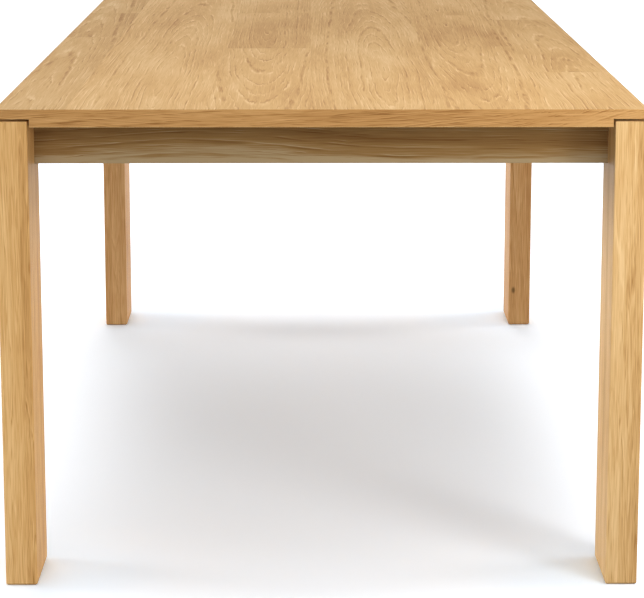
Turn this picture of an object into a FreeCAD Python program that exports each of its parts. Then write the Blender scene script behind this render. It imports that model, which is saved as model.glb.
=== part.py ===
import FreeCAD, Part
import math
import os
import Sketcher

# A dining table in oak. Its veneered top has solid lippings, and its four plank legs are let into
# the top's corners from below, with a shadow gap round each leg. An apron frame under the top is
# bolted to the legs through bent corner plates, so that the legs come off for transport.
# Millimetres, +Z up. The origin is on the floor under the middle of the top. X runs across the
# table and Y along it. Everything is drawn at the front left corner, at -X and -Y, and mirrored.

SIZES = {
    "table_length": 2000,
    "table_width": 1000,
    "table_height": 760,
    # The top: a core between two veneers, with a lipping all round
    "top_thickness": 28,
    "veneer_thickness": 1,
    "veneer_arris": 0.5,
    "lipping_width": 12,
    # The legs, and the notch that each one stands in
    "leg_width": 50,
    "leg_depth": 140,
    "leg_arris": 2,
    "foot_chamfer": 3,
    "notch_depth": 12.5,
    "notch_corner_radius": 6,
    "gap_over_leg": 3.5,
    "gap_beside_leg": 3,
    # The apron frame and the bearers that cross it
    "apron_height": 69,
    "apron_thickness": 25,
    "apron_arris": 1,
    "end_apron_setback": 86,
    "side_apron_setback": 12.5,
    "bearer_width": 45,
    "bearer_height": 45,
    "bearer_arris": 2,
    "bearer_distance": 360,
    # Dowels from apron to leg and from bearer to apron
    "dowel_diameter": 10,
    "dowel_length": 40,
    "dowel_chamfer": 1,
    "dowel_spacing": 36,
    "bearer_dowel_depth": 15,
    "bearer_dowel_spacing": 22,
    # Bent steel plates across the frame's corners, hooked into saw kerfs in the aprons
    "plate_thickness": 2.5,
    "plate_height": 45,
    "plate_reach": 70,
    "plate_flange": 32,
    "plate_hook": 8,
    "plate_screw_spacing": 24,
    # Hanger bolts from the legs' inner corners, with their washers and nuts
    "bolt_diameter": 8,
    "bolt_depth": 45,
    "bolt_end": 5,
    "bolt_tip": 6,
    "bolt_seat": 14,
    "washer_diameter": 20,
    "washer_thickness": 1.6,
    "nut_width": 13,
    "nut_height": 6.5,
    # Angle brackets that hold the top down on the aprons
    "bracket_flange": 30,
    "bracket_width": 20,
    "bracket_thickness": 2,
    "bracket_bend_radius": 3,
    "bracket_hole_offset": 19,
    # Pan-head screws for plates and brackets, and longer ones up through the bearers
    "screw_diameter": 4,
    "screw_length": 16,
    "screw_tip": 4,
    "screw_head_diameter": 8,
    "screw_head_height": 2.6,
    "screw_head_round": 1.4,
    "bearer_screw_length": 40,
    "bearer_screw_recess": 20,
    "bearer_recess_diameter": 12,
    # Levelling glides, screwed up into a recess under each leg
    "recess_depth": 10,
    "recess_diameter": 36,
    "insert_diameter": 12,
    "insert_length": 22,
    "insert_flange_diameter": 20,
    "insert_flange_thickness": 2,
    "glide_diameter": 30,
    "glide_thickness": 7,
    "glide_round": 1.5,
    "stem_diameter": 8,
    "stem_length": 36,
    "stem_root": 4,
    "stem_chamfer": 1,
    # Clearances, and how far a cut runs past a face
    "fit_clearance": 0.1,
    "thread_clearance": 0.08,
    "hole_clearance": 0.4,
    "kerf_clearance": 0.3,
    "glide_clearance": 0.3,
    "hole_end_gap": 1,
    "overrun": 5,
}

# The widths of the top's six veneer leaves from left to right, and each bearer's screws from its middle
LEAF_WIDTH_SHARES = (0.108, 0.214, 0.162, 0.216, 0.161, 0.139)
BEARER_SCREW_SHARES = (0.15, 0.38)

# Planes of the frame, as expressions in the sheet's names
LEFT = "(-sizes.table_width / 2)"
FRONT = "(-sizes.table_length / 2)"
RIGHT = "(sizes.table_width / 2)"
REAR = "(sizes.table_length / 2)"
UNDERSIDE = "(sizes.table_height - sizes.top_thickness)"
CORE_BOTTOM = f"({UNDERSIDE} + sizes.veneer_thickness)"
CORE_THICKNESS = "(sizes.top_thickness - 2 * sizes.veneer_thickness)"
LEG_TOP = f"({UNDERSIDE} + sizes.notch_depth - sizes.gap_over_leg)"
LEG_INSIDE = f"({LEFT} + sizes.leg_width)"
LEG_BACK = f"({FRONT} + sizes.leg_depth)"
APRON_BOTTOM = f"({UNDERSIDE} - sizes.apron_height)"
APRON_MIDDLE = f"({UNDERSIDE} - sizes.apron_height / 2)"
SIDE_OUTSIDE = f"({LEFT} + sizes.side_apron_setback)"
SIDE_INSIDE = f"({SIDE_OUTSIDE} + sizes.apron_thickness)"
SIDE_MIDDLE = f"({SIDE_OUTSIDE} + sizes.apron_thickness / 2)"
END_OUTSIDE = f"({FRONT} + sizes.end_apron_setback)"
END_INSIDE = f"({END_OUTSIDE} + sizes.apron_thickness)"
END_MIDDLE = f"({END_OUTSIDE} + sizes.apron_thickness / 2)"
PLATE_END = "(sizes.plate_reach + sizes.plate_flange)"

# Directions, and the two planes that the table is mirrored in
ACROSS = FreeCAD.Vector(1, 0, 0)
ALONG = FreeCAD.Vector(0, 1, 0)
UP = FreeCAD.Vector(0, 0, 1)
DOWN = FreeCAD.Vector(0, 0, -1)
OUT_OF_LEG = FreeCAD.Vector(1, 1, 0)
SAME_PLACE = 1e-4

doc = FreeCAD.newDocument("dining_table")
sheet = doc.addObject("Spreadsheet::Sheet", "sizes")
for row, (alias, value) in enumerate(SIZES.items(), start=1):
    sheet.set(f"A{row}", alias)
    sheet.set(f"B{row}", str(value))
    sheet.setAlias(f"B{row}", alias)
doc.recompute()

nodes = []


def node(piece, label):
    """Names a finished piece, which is then written to a file of that name."""
    piece.Label = label
    nodes.append(piece)
    return piece


# Building blocks

def outline(body, points, level="0"):
    """A closed sketch on the body's XY plane, raised to level, with each corner at two expressions."""
    sketch = body.newObject("Sketcher::SketchObject", body.Name + "_outline")
    plane = next(item for item in body.Origin.OriginFeatures if item.Role == "XY_Plane")
    sketch.AttachmentSupport = (plane, [""])
    sketch.MapMode = "FlatFace"
    sketch.setExpression("AttachmentOffset.Base.z", level)
    count = len(points)
    turn = 2 * math.pi / count
    start = [FreeCAD.Vector(math.cos(i * turn), math.sin(i * turn), 0) for i in range(count)]
    for i in range(count):
        sketch.addGeometry(Part.LineSegment(start[i], start[(i + 1) % count]), False)
    for i in range(count):
        sketch.addConstraint(Sketcher.Constraint("Coincident", i, 2, (i + 1) % count, 1))
    for i, place in enumerate(points):
        for kind, axis, expression, now in zip(("DistanceX", "DistanceY"), (-2, -1), place, start[i]):
            if expression == "0":
                sketch.addConstraint(Sketcher.Constraint("PointOnObject", i, 1, axis))
            else:
                index = sketch.addConstraint(Sketcher.Constraint(kind, -1, 1, i, 1, now))
                sketch.setExpression(f"Constraints[{index}]", expression)
    doc.recompute()
    return sketch


def rectangle(low_x, low_y, high_x, high_y):
    """The corners of an upright rectangle."""
    return [(low_x, low_y), (high_x, low_y), (high_x, high_y), (low_x, high_y)]


def padded(name, points, level, height):
    """A body padded upwards from an outline at level."""
    body = doc.addObject("PartDesign::Body", name)
    pad = body.newObject("PartDesign::Pad", name + "_pad")
    pad.Profile = outline(body, points, level)
    pad.setExpression("Length", height)
    body.Tip = pad
    doc.recompute()
    return body


def turned(name, points):
    """A body revolved about its own Y axis from a half profile of (radius, height) corners."""
    body = doc.addObject("PartDesign::Body", name)
    profile = outline(body, points)
    revolution = body.newObject("PartDesign::Revolution", name + "_revolution")
    revolution.Profile = profile
    revolution.ReferenceAxis = (profile, ["V_Axis"])
    body.Tip = revolution
    doc.recompute()
    return body


def eased(body, kind, alias, wanted):
    """Fillets or chamfers, by the named size, those edges of a body that wanted picks."""
    base = body.Tip
    edges = [f"Edge{i}" for i, edge in enumerate(base.Shape.Edges, start=1) if wanted(edge)]
    feature = body.newObject(f"PartDesign::{kind}", f"{body.Name}_{alias}")
    feature.Base = (base, edges)
    feature.setExpression("Radius" if kind == "Fillet" else "Size", f"sizes.{alias}")
    body.Tip = feature
    doc.recompute()
    return body


def lies_at(axis, place):
    """Picks the edges that lie whole in the plane where axis, "X", "Y" or "Z", is at place."""
    def wanted(edge):
        box = edge.BoundBox
        low = getattr(box, axis + "Min")
        high = getattr(box, axis + "Max")
        return abs(low - place) < SAME_PLACE and abs(high - place) < SAME_PLACE
    return wanted


def runs_up(edge):
    """Picks upright edges."""
    return edge.BoundBox.XLength < SAME_PLACE and edge.BoundBox.YLength < SAME_PLACE


def cut(name, piece, *tools):
    """A piece with tools taken out of it one after another, each of which has to take something away."""
    for tool in tools:
        before = piece.Shape.Volume
        left = doc.addObject("Part::Cut", name)
        left.Base = piece
        left.Tool = tool
        doc.recompute()
        if left.Shape.Volume >= before:
            raise RuntimeError(f"{name}: {tool.Name} takes nothing away")
        piece = left
    return piece


def grouped(name, pieces):
    """Several pieces as one compound of separate solids."""
    group = doc.addObject("Part::Compound", name)
    group.Links = list(pieces)
    doc.recompute()
    return group


def mirrored(piece, normal):
    """The same piece on the other side of the table."""
    side = "opposite" if normal == ACROSS else "rear"
    copy = doc.addObject("Part::Mirroring", f"{piece.Name}_{side}")
    copy.Source = piece
    copy.Normal = normal
    doc.recompute()
    return copy


def both(piece, normal):
    """A piece and its mirror image, as one compound."""
    return grouped(piece.Name + "_both", [piece, mirrored(piece, normal)])


def four_corners(piece):
    """A piece at all four corners of the table, as one compound."""
    return both(both(piece, ACROSS), ALONG)


def pointing(direction, own_axis=ALONG):
    """The rotation that turns a piece's own axis to a direction."""
    return FreeCAD.Rotation(own_axis, direction)


def placed(piece, place, rotation):
    """A copy of a piece at a place given by three expressions."""
    link = doc.addObject("App::Link", piece.Name + "_placed")
    link.LinkedObject = piece
    link.Placement = FreeCAD.Placement(FreeCAD.Vector(), rotation)
    for axis, expression in zip("xyz", place):
        link.setExpression(f"Placement.Base.{axis}", expression)
    return link


def placed_at(piece, sites):
    """Copies of a piece at (place, direction) sites, as one compound."""
    links = [placed(piece, place, pointing(direction)) for place, direction in sites]
    return grouped(piece.Name + "_at_sites", links)


def drill(name, radius, depth):
    """A round cutter that enters at its origin and goes down its own Y axis."""
    return turned(name, rectangle("0", f"-({depth})", radius, "sizes.overrun"))


# Places of the fasteners at the front left corner, each with the way its head faces

def plate_point(along_end, along_side):
    """A point measured from where the two aprons' inner faces would meet."""
    return f"{SIDE_INSIDE} + {along_end}", f"{END_INSIDE} + {along_side}"


def plate_screw_sites():
    """Two screws through each flange of a corner plate."""
    middle = "(sizes.plate_reach + (sizes.plate_flange - sizes.plate_thickness) / 2)"
    sites = []
    for sign in "+-":
        level = f"{APRON_MIDDLE} {sign} sizes.plate_screw_spacing / 2"
        sites.append(((*plate_point(middle, "sizes.plate_thickness"), level), ALONG))
        sites.append(((*plate_point("sizes.plate_thickness", middle), level), ACROSS))
    return sites


BOLT_PLACE = (
    f"{LEG_INSIDE} - sizes.bolt_seat / 2",
    f"{LEG_BACK} - sizes.bolt_seat / 2",
    APRON_MIDDLE,
)
SEAT_OUT = f"({LEG_INSIDE} - {SIDE_INSIDE} + {LEG_BACK} - {END_INSIDE} - sizes.bolt_seat)"
BOLT_TO_PLATE = f"((sizes.plate_reach - {SEAT_OUT}) / sqrt(2))"
BOLT_TO_WASHER = f"({BOLT_TO_PLATE} + sizes.plate_thickness)"
BOLT_TO_NUT = f"({BOLT_TO_WASHER} + sizes.washer_thickness)"


def along_bolt(distance):
    """A point on the hanger bolt's axis, measured out from its seat."""
    return tuple(f"{place} + {distance} / sqrt(2)" for place in BOLT_PLACE[:2]) + (BOLT_PLACE[2],)


BRACKET_ON_END = (f"({SIDE_INSIDE} + {PLATE_END}) / 2", END_INSIDE, UNDERSIDE)
BRACKETS_ON_SIDE = [
    (SIDE_INSIDE, "-sizes.bearer_distance / 2", UNDERSIDE),
    (SIDE_INSIDE, f"({END_INSIDE} + {PLATE_END} - sizes.bearer_distance) / 2", UNDERSIDE),
]


def bracket_screw_sites():
    """Each bracket's two screws: the first into the apron, the second up into the top."""
    into_end, into_side, into_top = [], [], []
    offset = "sizes.bracket_hole_offset"
    thick = "sizes.bracket_thickness"
    x, y, z = BRACKET_ON_END
    into_end.append(((x, f"{y} + {thick}", f"{z} - {offset}"), ALONG))
    into_top.append(((x, f"{y} + {offset}", f"{z} - {thick}"), DOWN))
    for x, y, z in BRACKETS_ON_SIDE:
        into_side.append(((f"{x} + {thick}", y, f"{z} - {offset}"), ACROSS))
        into_top.append(((f"{x} + {offset}", y, f"{z} - {thick}"), DOWN))
    return into_end, into_side, into_top


def bearer_screw_sites():
    """Screws up through a bearer, with their heads in deep recesses."""
    level = f"{UNDERSIDE} - sizes.bearer_height + sizes.bearer_screw_recess"
    return [((f"2 * {SIDE_INSIDE} * {share}", "-sizes.bearer_distance", level), DOWN)
            for share in BEARER_SCREW_SHARES]


def end_dowel_sites():
    """Two dowels from an end apron into the side of a leg."""
    return [((LEG_INSIDE, END_MIDDLE, f"{APRON_MIDDLE} {sign} sizes.dowel_spacing / 2"), ACROSS)
            for sign in "+-"]


def side_dowel_sites():
    """Two dowels from a side apron into the back of a leg."""
    return [((SIDE_MIDDLE, LEG_BACK, f"{APRON_MIDDLE} {sign} sizes.dowel_spacing / 2"), ALONG)
            for sign in "+-"]


def bearer_dowel_sites():
    """Two dowels from a bearer's end into a side apron."""
    middle = f"{SIDE_INSIDE} - sizes.bearer_dowel_depth + sizes.dowel_length / 2"
    level = f"{UNDERSIDE} - sizes.bearer_height / 2"
    return [((middle, f"-sizes.bearer_distance {sign} sizes.bearer_dowel_spacing / 2", level), ACROSS)
            for sign in "+-"]


GLIDE_PLACE = (f"{LEFT} + sizes.leg_width / 2", f"{FRONT} + sizes.leg_depth / 2")

# Cutters that several pieces share

SCREW_HOLE_RADIUS = "sizes.screw_diameter / 2 + sizes.fit_clearance"
screw_hole = drill("screw_hole", SCREW_HOLE_RADIUS, "sizes.screw_length + sizes.hole_end_gap")
long_screw_hole = drill("long_screw_hole", SCREW_HOLE_RADIUS,
                        "sizes.bearer_screw_length + sizes.hole_end_gap")
dowel_hole = turned("dowel_hole", rectangle(
    "0", "-sizes.dowel_length / 2 - sizes.hole_end_gap",
    "sizes.dowel_diameter / 2 + sizes.fit_clearance", "sizes.dowel_length / 2 + sizes.hole_end_gap"))

end_screw_sites, side_screw_sites, top_screw_sites = bracket_screw_sites()
top_holes = four_corners(grouped("top_holes", [
    placed_at(screw_hole, top_screw_sites),
    placed_at(long_screw_hole, bearer_screw_sites()),
]))
end_dowel_holes = placed_at(dowel_hole, end_dowel_sites())
side_dowel_holes = placed_at(dowel_hole, side_dowel_sites())
bearer_dowel_holes = placed_at(dowel_hole, bearer_dowel_sites())
end_plate_holes = placed_at(screw_hole, [site for site in plate_screw_sites() if site[1] == ALONG])
side_plate_holes = placed_at(screw_hole, [site for site in plate_screw_sites() if site[1] == ACROSS])


# The top

def leg_notches():
    """The four corner recesses that the legs stand up into, milled from below with a round cutter."""
    points = rectangle(f"{LEFT} - sizes.overrun", f"{FRONT} - sizes.overrun",
                       f"{LEG_INSIDE} + sizes.gap_beside_leg", f"{LEG_BACK} + sizes.gap_beside_leg")
    notch = padded("leg_notch", points, f"{UNDERSIDE} - sizes.overrun",
                   "sizes.notch_depth + sizes.overrun")
    box = notch.Shape.BoundBox
    eased(notch, "Fillet", "notch_corner_radius",
          lambda edge: runs_up(edge) and lies_at("X", box.XMax)(edge) and lies_at("Y", box.YMax)(edge))
    return four_corners(notch)


def make_top():
    """The core, its lippings with mitred corners, and the veneers on both faces."""
    notches = leg_notches()
    inner = [f"({side} {sign} sizes.lipping_width)" for side, sign in
             ((LEFT, "+"), (FRONT, "+"), (RIGHT, "-"), (REAR, "-"))]
    core = padded("core_blank", rectangle(*inner), CORE_BOTTOM, CORE_THICKNESS)
    node(cut("core", core, notches, top_holes), "top_core")

    end_points = [(LEFT, FRONT), (RIGHT, FRONT), (inner[2], inner[1]), (inner[0], inner[1])]
    end_blank = padded("end_lipping_blank", end_points, CORE_BOTTOM, CORE_THICKNESS)
    end = node(cut("end_lipping", end_blank, notches), "end_lipping_front")
    node(mirrored(end, ALONG), "end_lipping_rear")

    side_points = [(LEFT, FRONT), (inner[0], inner[1]), (inner[0], inner[3]), (LEFT, REAR)]
    side_blank = padded("side_lipping_blank", side_points, CORE_BOTTOM, CORE_THICKNESS)
    side = node(cut("side_lipping", side_blank, notches), "side_lipping_left")
    node(mirrored(side, ACROSS), "side_lipping_right")

    face = padded("underside_blank", rectangle(LEFT, FRONT, RIGHT, REAR), UNDERSIDE,
                  "sizes.veneer_thickness")
    box = face.Shape.BoundBox
    eased(face, "Fillet", "veneer_arris", lies_at("Z", box.ZMin))
    node(cut("underside", face, notches, top_holes), "underside_veneer")
    make_leaves()


def make_leaves():
    """Six veneer leaves side by side, with the arris rounded where a leaf meets the table's edge."""
    done = 0
    edge_at = [LEFT]
    for share in LEAF_WIDTH_SHARES[:-1]:
        done += share
        edge_at.append(f"({LEFT} + sizes.table_width * {done:.3f})")
    edge_at.append(RIGHT)
    half_width = sheet.table_width / 2
    half_length = sheet.table_length / 2
    height = sheet.table_height
    for i in range(len(LEAF_WIDTH_SHARES)):
        leaf = padded(f"leaf_{i + 1}", rectangle(edge_at[i], FRONT, edge_at[i + 1], REAR),
                      "sizes.table_height - sizes.veneer_thickness", "sizes.veneer_thickness")

        def on_table_edge(edge):
            on_side = any(lies_at("X", place)(edge) for place in (-half_width, half_width))
            on_end = any(lies_at("Y", place)(edge) for place in (-half_length, half_length))
            return lies_at("Z", height)(edge) and (on_side or on_end)

        node(eased(leaf, "Fillet", "veneer_arris", on_table_edge), f"top_veneer_leaf_{i + 1}")


# The legs

def make_legs():
    """A plank leg with eased edges, and all that is drilled and cut in it."""
    section = rectangle(LEFT, FRONT, LEG_INSIDE, LEG_BACK)
    rounded = padded("leg_rounded", section, "0", LEG_TOP)
    top = rounded.Shape.BoundBox.ZMax
    eased(rounded, "Fillet", "leg_arris", lambda edge: runs_up(edge) or lies_at("Z", top)(edge))
    footed = padded("leg_footed", section, "0", LEG_TOP)
    eased(footed, "Chamfer", "foot_chamfer", lies_at("Z", 0))
    leg = doc.addObject("Part::Common", "leg_blank")
    leg.Base = rounded
    leg.Tool = footed
    doc.recompute()

    past = "sizes.overrun"
    seat = padded("bolt_seat_cutter", [
        (f"{LEG_INSIDE} - sizes.bolt_seat - {past}", f"{LEG_BACK} + {past}"),
        (f"{LEG_INSIDE} + {past}", f"{LEG_BACK} - sizes.bolt_seat - {past}"),
        (f"{LEG_INSIDE} + {past}", f"{LEG_BACK} + {past}"),
    ], APRON_BOTTOM, f"{LEG_TOP} - {APRON_BOTTOM} + {past}")
    bolt_hole = drill("bolt_hole", "sizes.bolt_diameter / 2 + sizes.fit_clearance",
                      "sizes.bolt_depth + sizes.hole_end_gap")

    sleeve_top = "(sizes.recess_depth - sizes.insert_flange_thickness + sizes.insert_length)"
    stem_top = f"({stem_level()} + sizes.stem_length + sizes.hole_end_gap)"
    sleeve_radius = "sizes.insert_diameter / 2 + sizes.fit_clearance"
    stem_radius = "sizes.stem_diameter / 2 + sizes.hole_clearance"
    foot_bore = turned("foot_bore", [
        ("0", "-sizes.overrun"),
        ("sizes.recess_diameter / 2", "-sizes.overrun"),
        ("sizes.recess_diameter / 2", "sizes.recess_depth"),
        (sleeve_radius, "sizes.recess_depth"),
        (sleeve_radius, sleeve_top),
        (stem_radius, sleeve_top),
        (stem_radius, stem_top),
        ("0", stem_top),
    ])
    front_left = cut("leg", leg, seat, end_dowel_holes, side_dowel_holes,
                     placed(bolt_hole, BOLT_PLACE, pointing(OUT_OF_LEG)),
                     placed(foot_bore, (*GLIDE_PLACE, "0"), pointing(UP)))
    front_right = mirrored(front_left, ACROSS)
    node(front_left, "leg_front_left")
    node(front_right, "leg_front_right")
    node(mirrored(front_left, ALONG), "leg_rear_left")
    node(mirrored(front_right, ALONG), "leg_rear_right")


# The apron frame

def make_aprons():
    """Two end aprons and two side aprons, doweled to the legs and sawn for the corner plates."""
    near = f"{PLATE_END} - sizes.plate_thickness - sizes.kerf_clearance"
    far = f"{PLATE_END} + sizes.kerf_clearance"
    deep = "-(sizes.plate_hook + sizes.kerf_clearance)"
    level = f"{APRON_BOTTOM} - sizes.overrun"
    height = "sizes.apron_height + 2 * sizes.overrun"
    end_kerf = padded("end_kerf", rectangle(
        *plate_point(near, deep), *plate_point(far, "sizes.overrun")), level, height)
    side_kerf = padded("side_kerf", rectangle(
        *plate_point(deep, near), *plate_point("sizes.overrun", far)), level, height)

    end = padded("end_apron_blank", rectangle(LEG_INSIDE, END_OUTSIDE, f"-{LEG_INSIDE}", END_INSIDE),
                 APRON_BOTTOM, "sizes.apron_height")
    bottom = end.Shape.BoundBox.ZMin
    eased(end, "Fillet", "apron_arris",
          lambda edge: lies_at("Z", bottom)(edge) and edge.BoundBox.XLength > edge.BoundBox.YLength)
    end_cuts = (end_kerf, end_dowel_holes, end_plate_holes, placed_at(screw_hole, end_screw_sites))
    front = cut("end_apron", end, *[both(tool, ACROSS) for tool in end_cuts])
    node(front, "end_apron_front")
    node(mirrored(front, ALONG), "end_apron_rear")

    side = padded("side_apron_blank", rectangle(SIDE_OUTSIDE, LEG_BACK, SIDE_INSIDE, f"-{LEG_BACK}"),
                  APRON_BOTTOM, "sizes.apron_height")
    eased(side, "Fillet", "apron_arris",
          lambda edge: lies_at("Z", bottom)(edge) and edge.BoundBox.YLength > edge.BoundBox.XLength)
    side_cuts = (side_kerf, side_dowel_holes, side_plate_holes, bearer_dowel_holes,
                 placed_at(screw_hole, side_screw_sites))
    left = cut("side_apron", side, *[both(tool, ALONG) for tool in side_cuts])
    node(left, "side_apron_left")
    node(mirrored(left, ACROSS), "side_apron_right")


def make_bearers():
    """Two bearers across the frame, doweled to the side aprons and screwed up into the top."""
    half = "sizes.bearer_width / 2"
    bearer = padded("bearer_blank", rectangle(
        SIDE_INSIDE, f"-sizes.bearer_distance - {half}", f"-{SIDE_INSIDE}",
        f"-sizes.bearer_distance + {half}"),
        f"{UNDERSIDE} - sizes.bearer_height", "sizes.bearer_height")
    bottom = bearer.Shape.BoundBox.ZMin
    eased(bearer, "Fillet", "bearer_arris",
          lambda edge: lies_at("Z", bottom)(edge) and edge.BoundBox.XLength > edge.BoundBox.YLength)
    counterbore = turned("bearer_counterbore", rectangle(
        "0", "0", "sizes.bearer_recess_diameter / 2", "sizes.bearer_screw_recess + sizes.overrun"))
    cuts = (bearer_dowel_holes, placed_at(long_screw_hole, bearer_screw_sites()),
            placed_at(counterbore, bearer_screw_sites()))
    front = cut("bearer", bearer, *[both(tool, ACROSS) for tool in cuts])
    node(front, "cross_bearer_front")
    node(mirrored(front, ALONG), "cross_bearer_rear")


def make_dowels():
    """Beech dowels with chamfered ends."""
    radius = "sizes.dowel_diameter / 2"
    half = "sizes.dowel_length / 2"
    slim = f"{radius} - sizes.dowel_chamfer"
    short = f"({half} - sizes.dowel_chamfer)"
    dowel = turned("dowel", [
        ("0", f"-{half}"), (slim, f"-{half}"), (radius, f"-{short}"),
        (radius, short), (slim, half), ("0", half),
    ])
    node(four_corners(placed_at(dowel, end_dowel_sites() + side_dowel_sites())), "apron_dowels")
    node(four_corners(placed_at(dowel, bearer_dowel_sites())), "bearer_dowels")


# Fittings

def make_corner_plates():
    """A strip bent at both ends to lie on the aprons, with its tips hooked into their kerfs."""
    reach = "sizes.plate_reach"
    thick = "sizes.plate_thickness"
    hook = "-sizes.plate_hook"
    lip = f"({PLATE_END} - {thick})"
    bend = f"({reach} + {thick} * (sqrt(2) - 1))"
    half = [(reach, "0"), (lip, "0"), (lip, hook), (PLATE_END, hook), (PLATE_END, thick), (bend, thick)]
    points = half + [(across, along) for along, across in reversed(half)]
    strip = padded("plate_strip", [plate_point(*point) for point in points],
                   f"{APRON_MIDDLE} - sizes.plate_height / 2", "sizes.plate_height")
    screw_way = drill("plate_screw_way", "sizes.screw_diameter / 2 + sizes.hole_clearance",
                      "sizes.plate_thickness + sizes.overrun")
    bolt_way = drill("plate_bolt_way", "sizes.bolt_diameter / 2 + sizes.hole_clearance",
                     "sizes.plate_thickness + sizes.overrun")
    plate = cut("plate", strip, placed_at(screw_way, plate_screw_sites()),
                placed(bolt_way, along_bolt(BOLT_TO_WASHER), pointing(OUT_OF_LEG)))
    opposite = mirrored(plate, ACROSS)
    node(plate, "corner_plate_front_left")
    node(opposite, "corner_plate_front_right")
    node(mirrored(plate, ALONG), "corner_plate_rear_left")
    node(mirrored(opposite, ALONG), "corner_plate_rear_right")


def make_hanger_bolts():
    """Bolts screwed into the legs' inner corners, with a washer and a nut inside each plate."""
    radius = "sizes.bolt_diameter / 2"
    out = f"({BOLT_TO_NUT} + sizes.nut_height + sizes.bolt_end)"
    bolt = turned("hanger_bolt", [
        ("0", "-sizes.bolt_depth"), (radius, "-sizes.bolt_depth + sizes.bolt_tip"),
        (radius, out), ("0", out),
    ])
    node(four_corners(placed_at(bolt, [(BOLT_PLACE, OUT_OF_LEG)])), "hanger_bolts")

    washer = turned("washer", rectangle(
        f"{radius} + sizes.hole_clearance", "0", "sizes.washer_diameter / 2", "sizes.washer_thickness"))
    node(four_corners(placed_at(washer, [(along_bolt(BOLT_TO_WASHER), OUT_OF_LEG)])), "hanger_washers")

    corner = "sizes.nut_width / sqrt(3)"
    flat = "sizes.nut_width / 2"
    hexagon = [(corner, "0"), (f"{corner} / 2", flat), (f"-{corner} / 2", flat),
               (f"-{corner}", "0"), (f"-{corner} / 2", f"-{flat}"), (f"{corner} / 2", f"-{flat}")]
    blank = padded("nut_blank", hexagon, "0", "sizes.nut_height")
    bore = doc.addObject("Part::Cylinder", "nut_bore")
    bore.setExpression("Radius", f"{radius} + sizes.fit_clearance")
    bore.setExpression("Height", "sizes.nut_height + 2 * sizes.overrun")
    bore.setExpression("Placement.Base.z", "-sizes.overrun")
    nut = cut("nut", blank, bore)
    at_plate = placed(nut, along_bolt(BOLT_TO_NUT), pointing(OUT_OF_LEG, UP))
    node(four_corners(grouped("nut_at_plate", [at_plate])), "hanger_nuts")


def make_brackets():
    """Angle brackets in the corners between the aprons and the top."""
    flange = "sizes.bracket_flange"
    thick = "sizes.bracket_thickness"
    points = [("0", "0"), (flange, "0"), (flange, thick), (thick, thick), (thick, flange), ("0", flange)]
    angle = padded("bracket_angle", points, "-sizes.bracket_width / 2", "sizes.bracket_width")
    inside = sheet.bracket_thickness
    eased(angle, "Fillet", "bracket_bend_radius",
          lambda edge: lies_at("X", inside)(edge) and lies_at("Y", inside)(edge))
    way = drill("bracket_screw_way", "sizes.screw_diameter / 2 + sizes.hole_clearance",
                "sizes.bracket_thickness + sizes.overrun")
    offset = "sizes.bracket_hole_offset"
    bracket = cut("bracket", angle, placed(way, (offset, thick, "0"), pointing(ALONG)),
                  placed(way, (thick, offset, "0"), pointing(ACROSS)))

    on_end = FreeCAD.Rotation(DOWN, ALONG, ACROSS, "XYZ")
    on_side = FreeCAD.Rotation(DOWN, ACROSS, -ALONG, "XYZ")
    copies = [placed(bracket, BRACKET_ON_END, on_end)]
    copies += [placed(bracket, place, on_side) for place in BRACKETS_ON_SIDE]
    node(four_corners(grouped("brackets_at_corner", copies)), "top_brackets")


def make_screw(name, length):
    """A pan-head screw with its head on its origin and a pointed shank."""
    head = "sizes.screw_head_diameter / 2"
    shank = "sizes.screw_diameter / 2"
    screw = turned(name, [
        ("0", f"-{length}"), (shank, f"-{length} + sizes.screw_tip"), (shank, "0"), (head, "0"),
        (head, "sizes.screw_head_height"), ("0", "sizes.screw_head_height"),
    ])
    crown = sheet.screw_head_height
    return eased(screw, "Fillet", "screw_head_round", lies_at("Y", crown))


def make_screws():
    """The screws of the corner plates, brackets and bearers."""
    short = make_screw("short_screw", "sizes.screw_length")
    long = make_screw("long_screw", "sizes.bearer_screw_length")
    node(four_corners(placed_at(short, plate_screw_sites())), "corner_plate_screws")
    sites = end_screw_sites + side_screw_sites + top_screw_sites
    node(four_corners(placed_at(short, sites)), "bracket_screws")
    node(four_corners(placed_at(long, bearer_screw_sites())), "bearer_screws")


# Levelling glides

def stem_level():
    """The height of a glide stem's lower end when the glide is screwed right in."""
    return "(sizes.recess_depth - sizes.insert_flange_thickness - sizes.glide_clearance - sizes.stem_root)"


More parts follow.
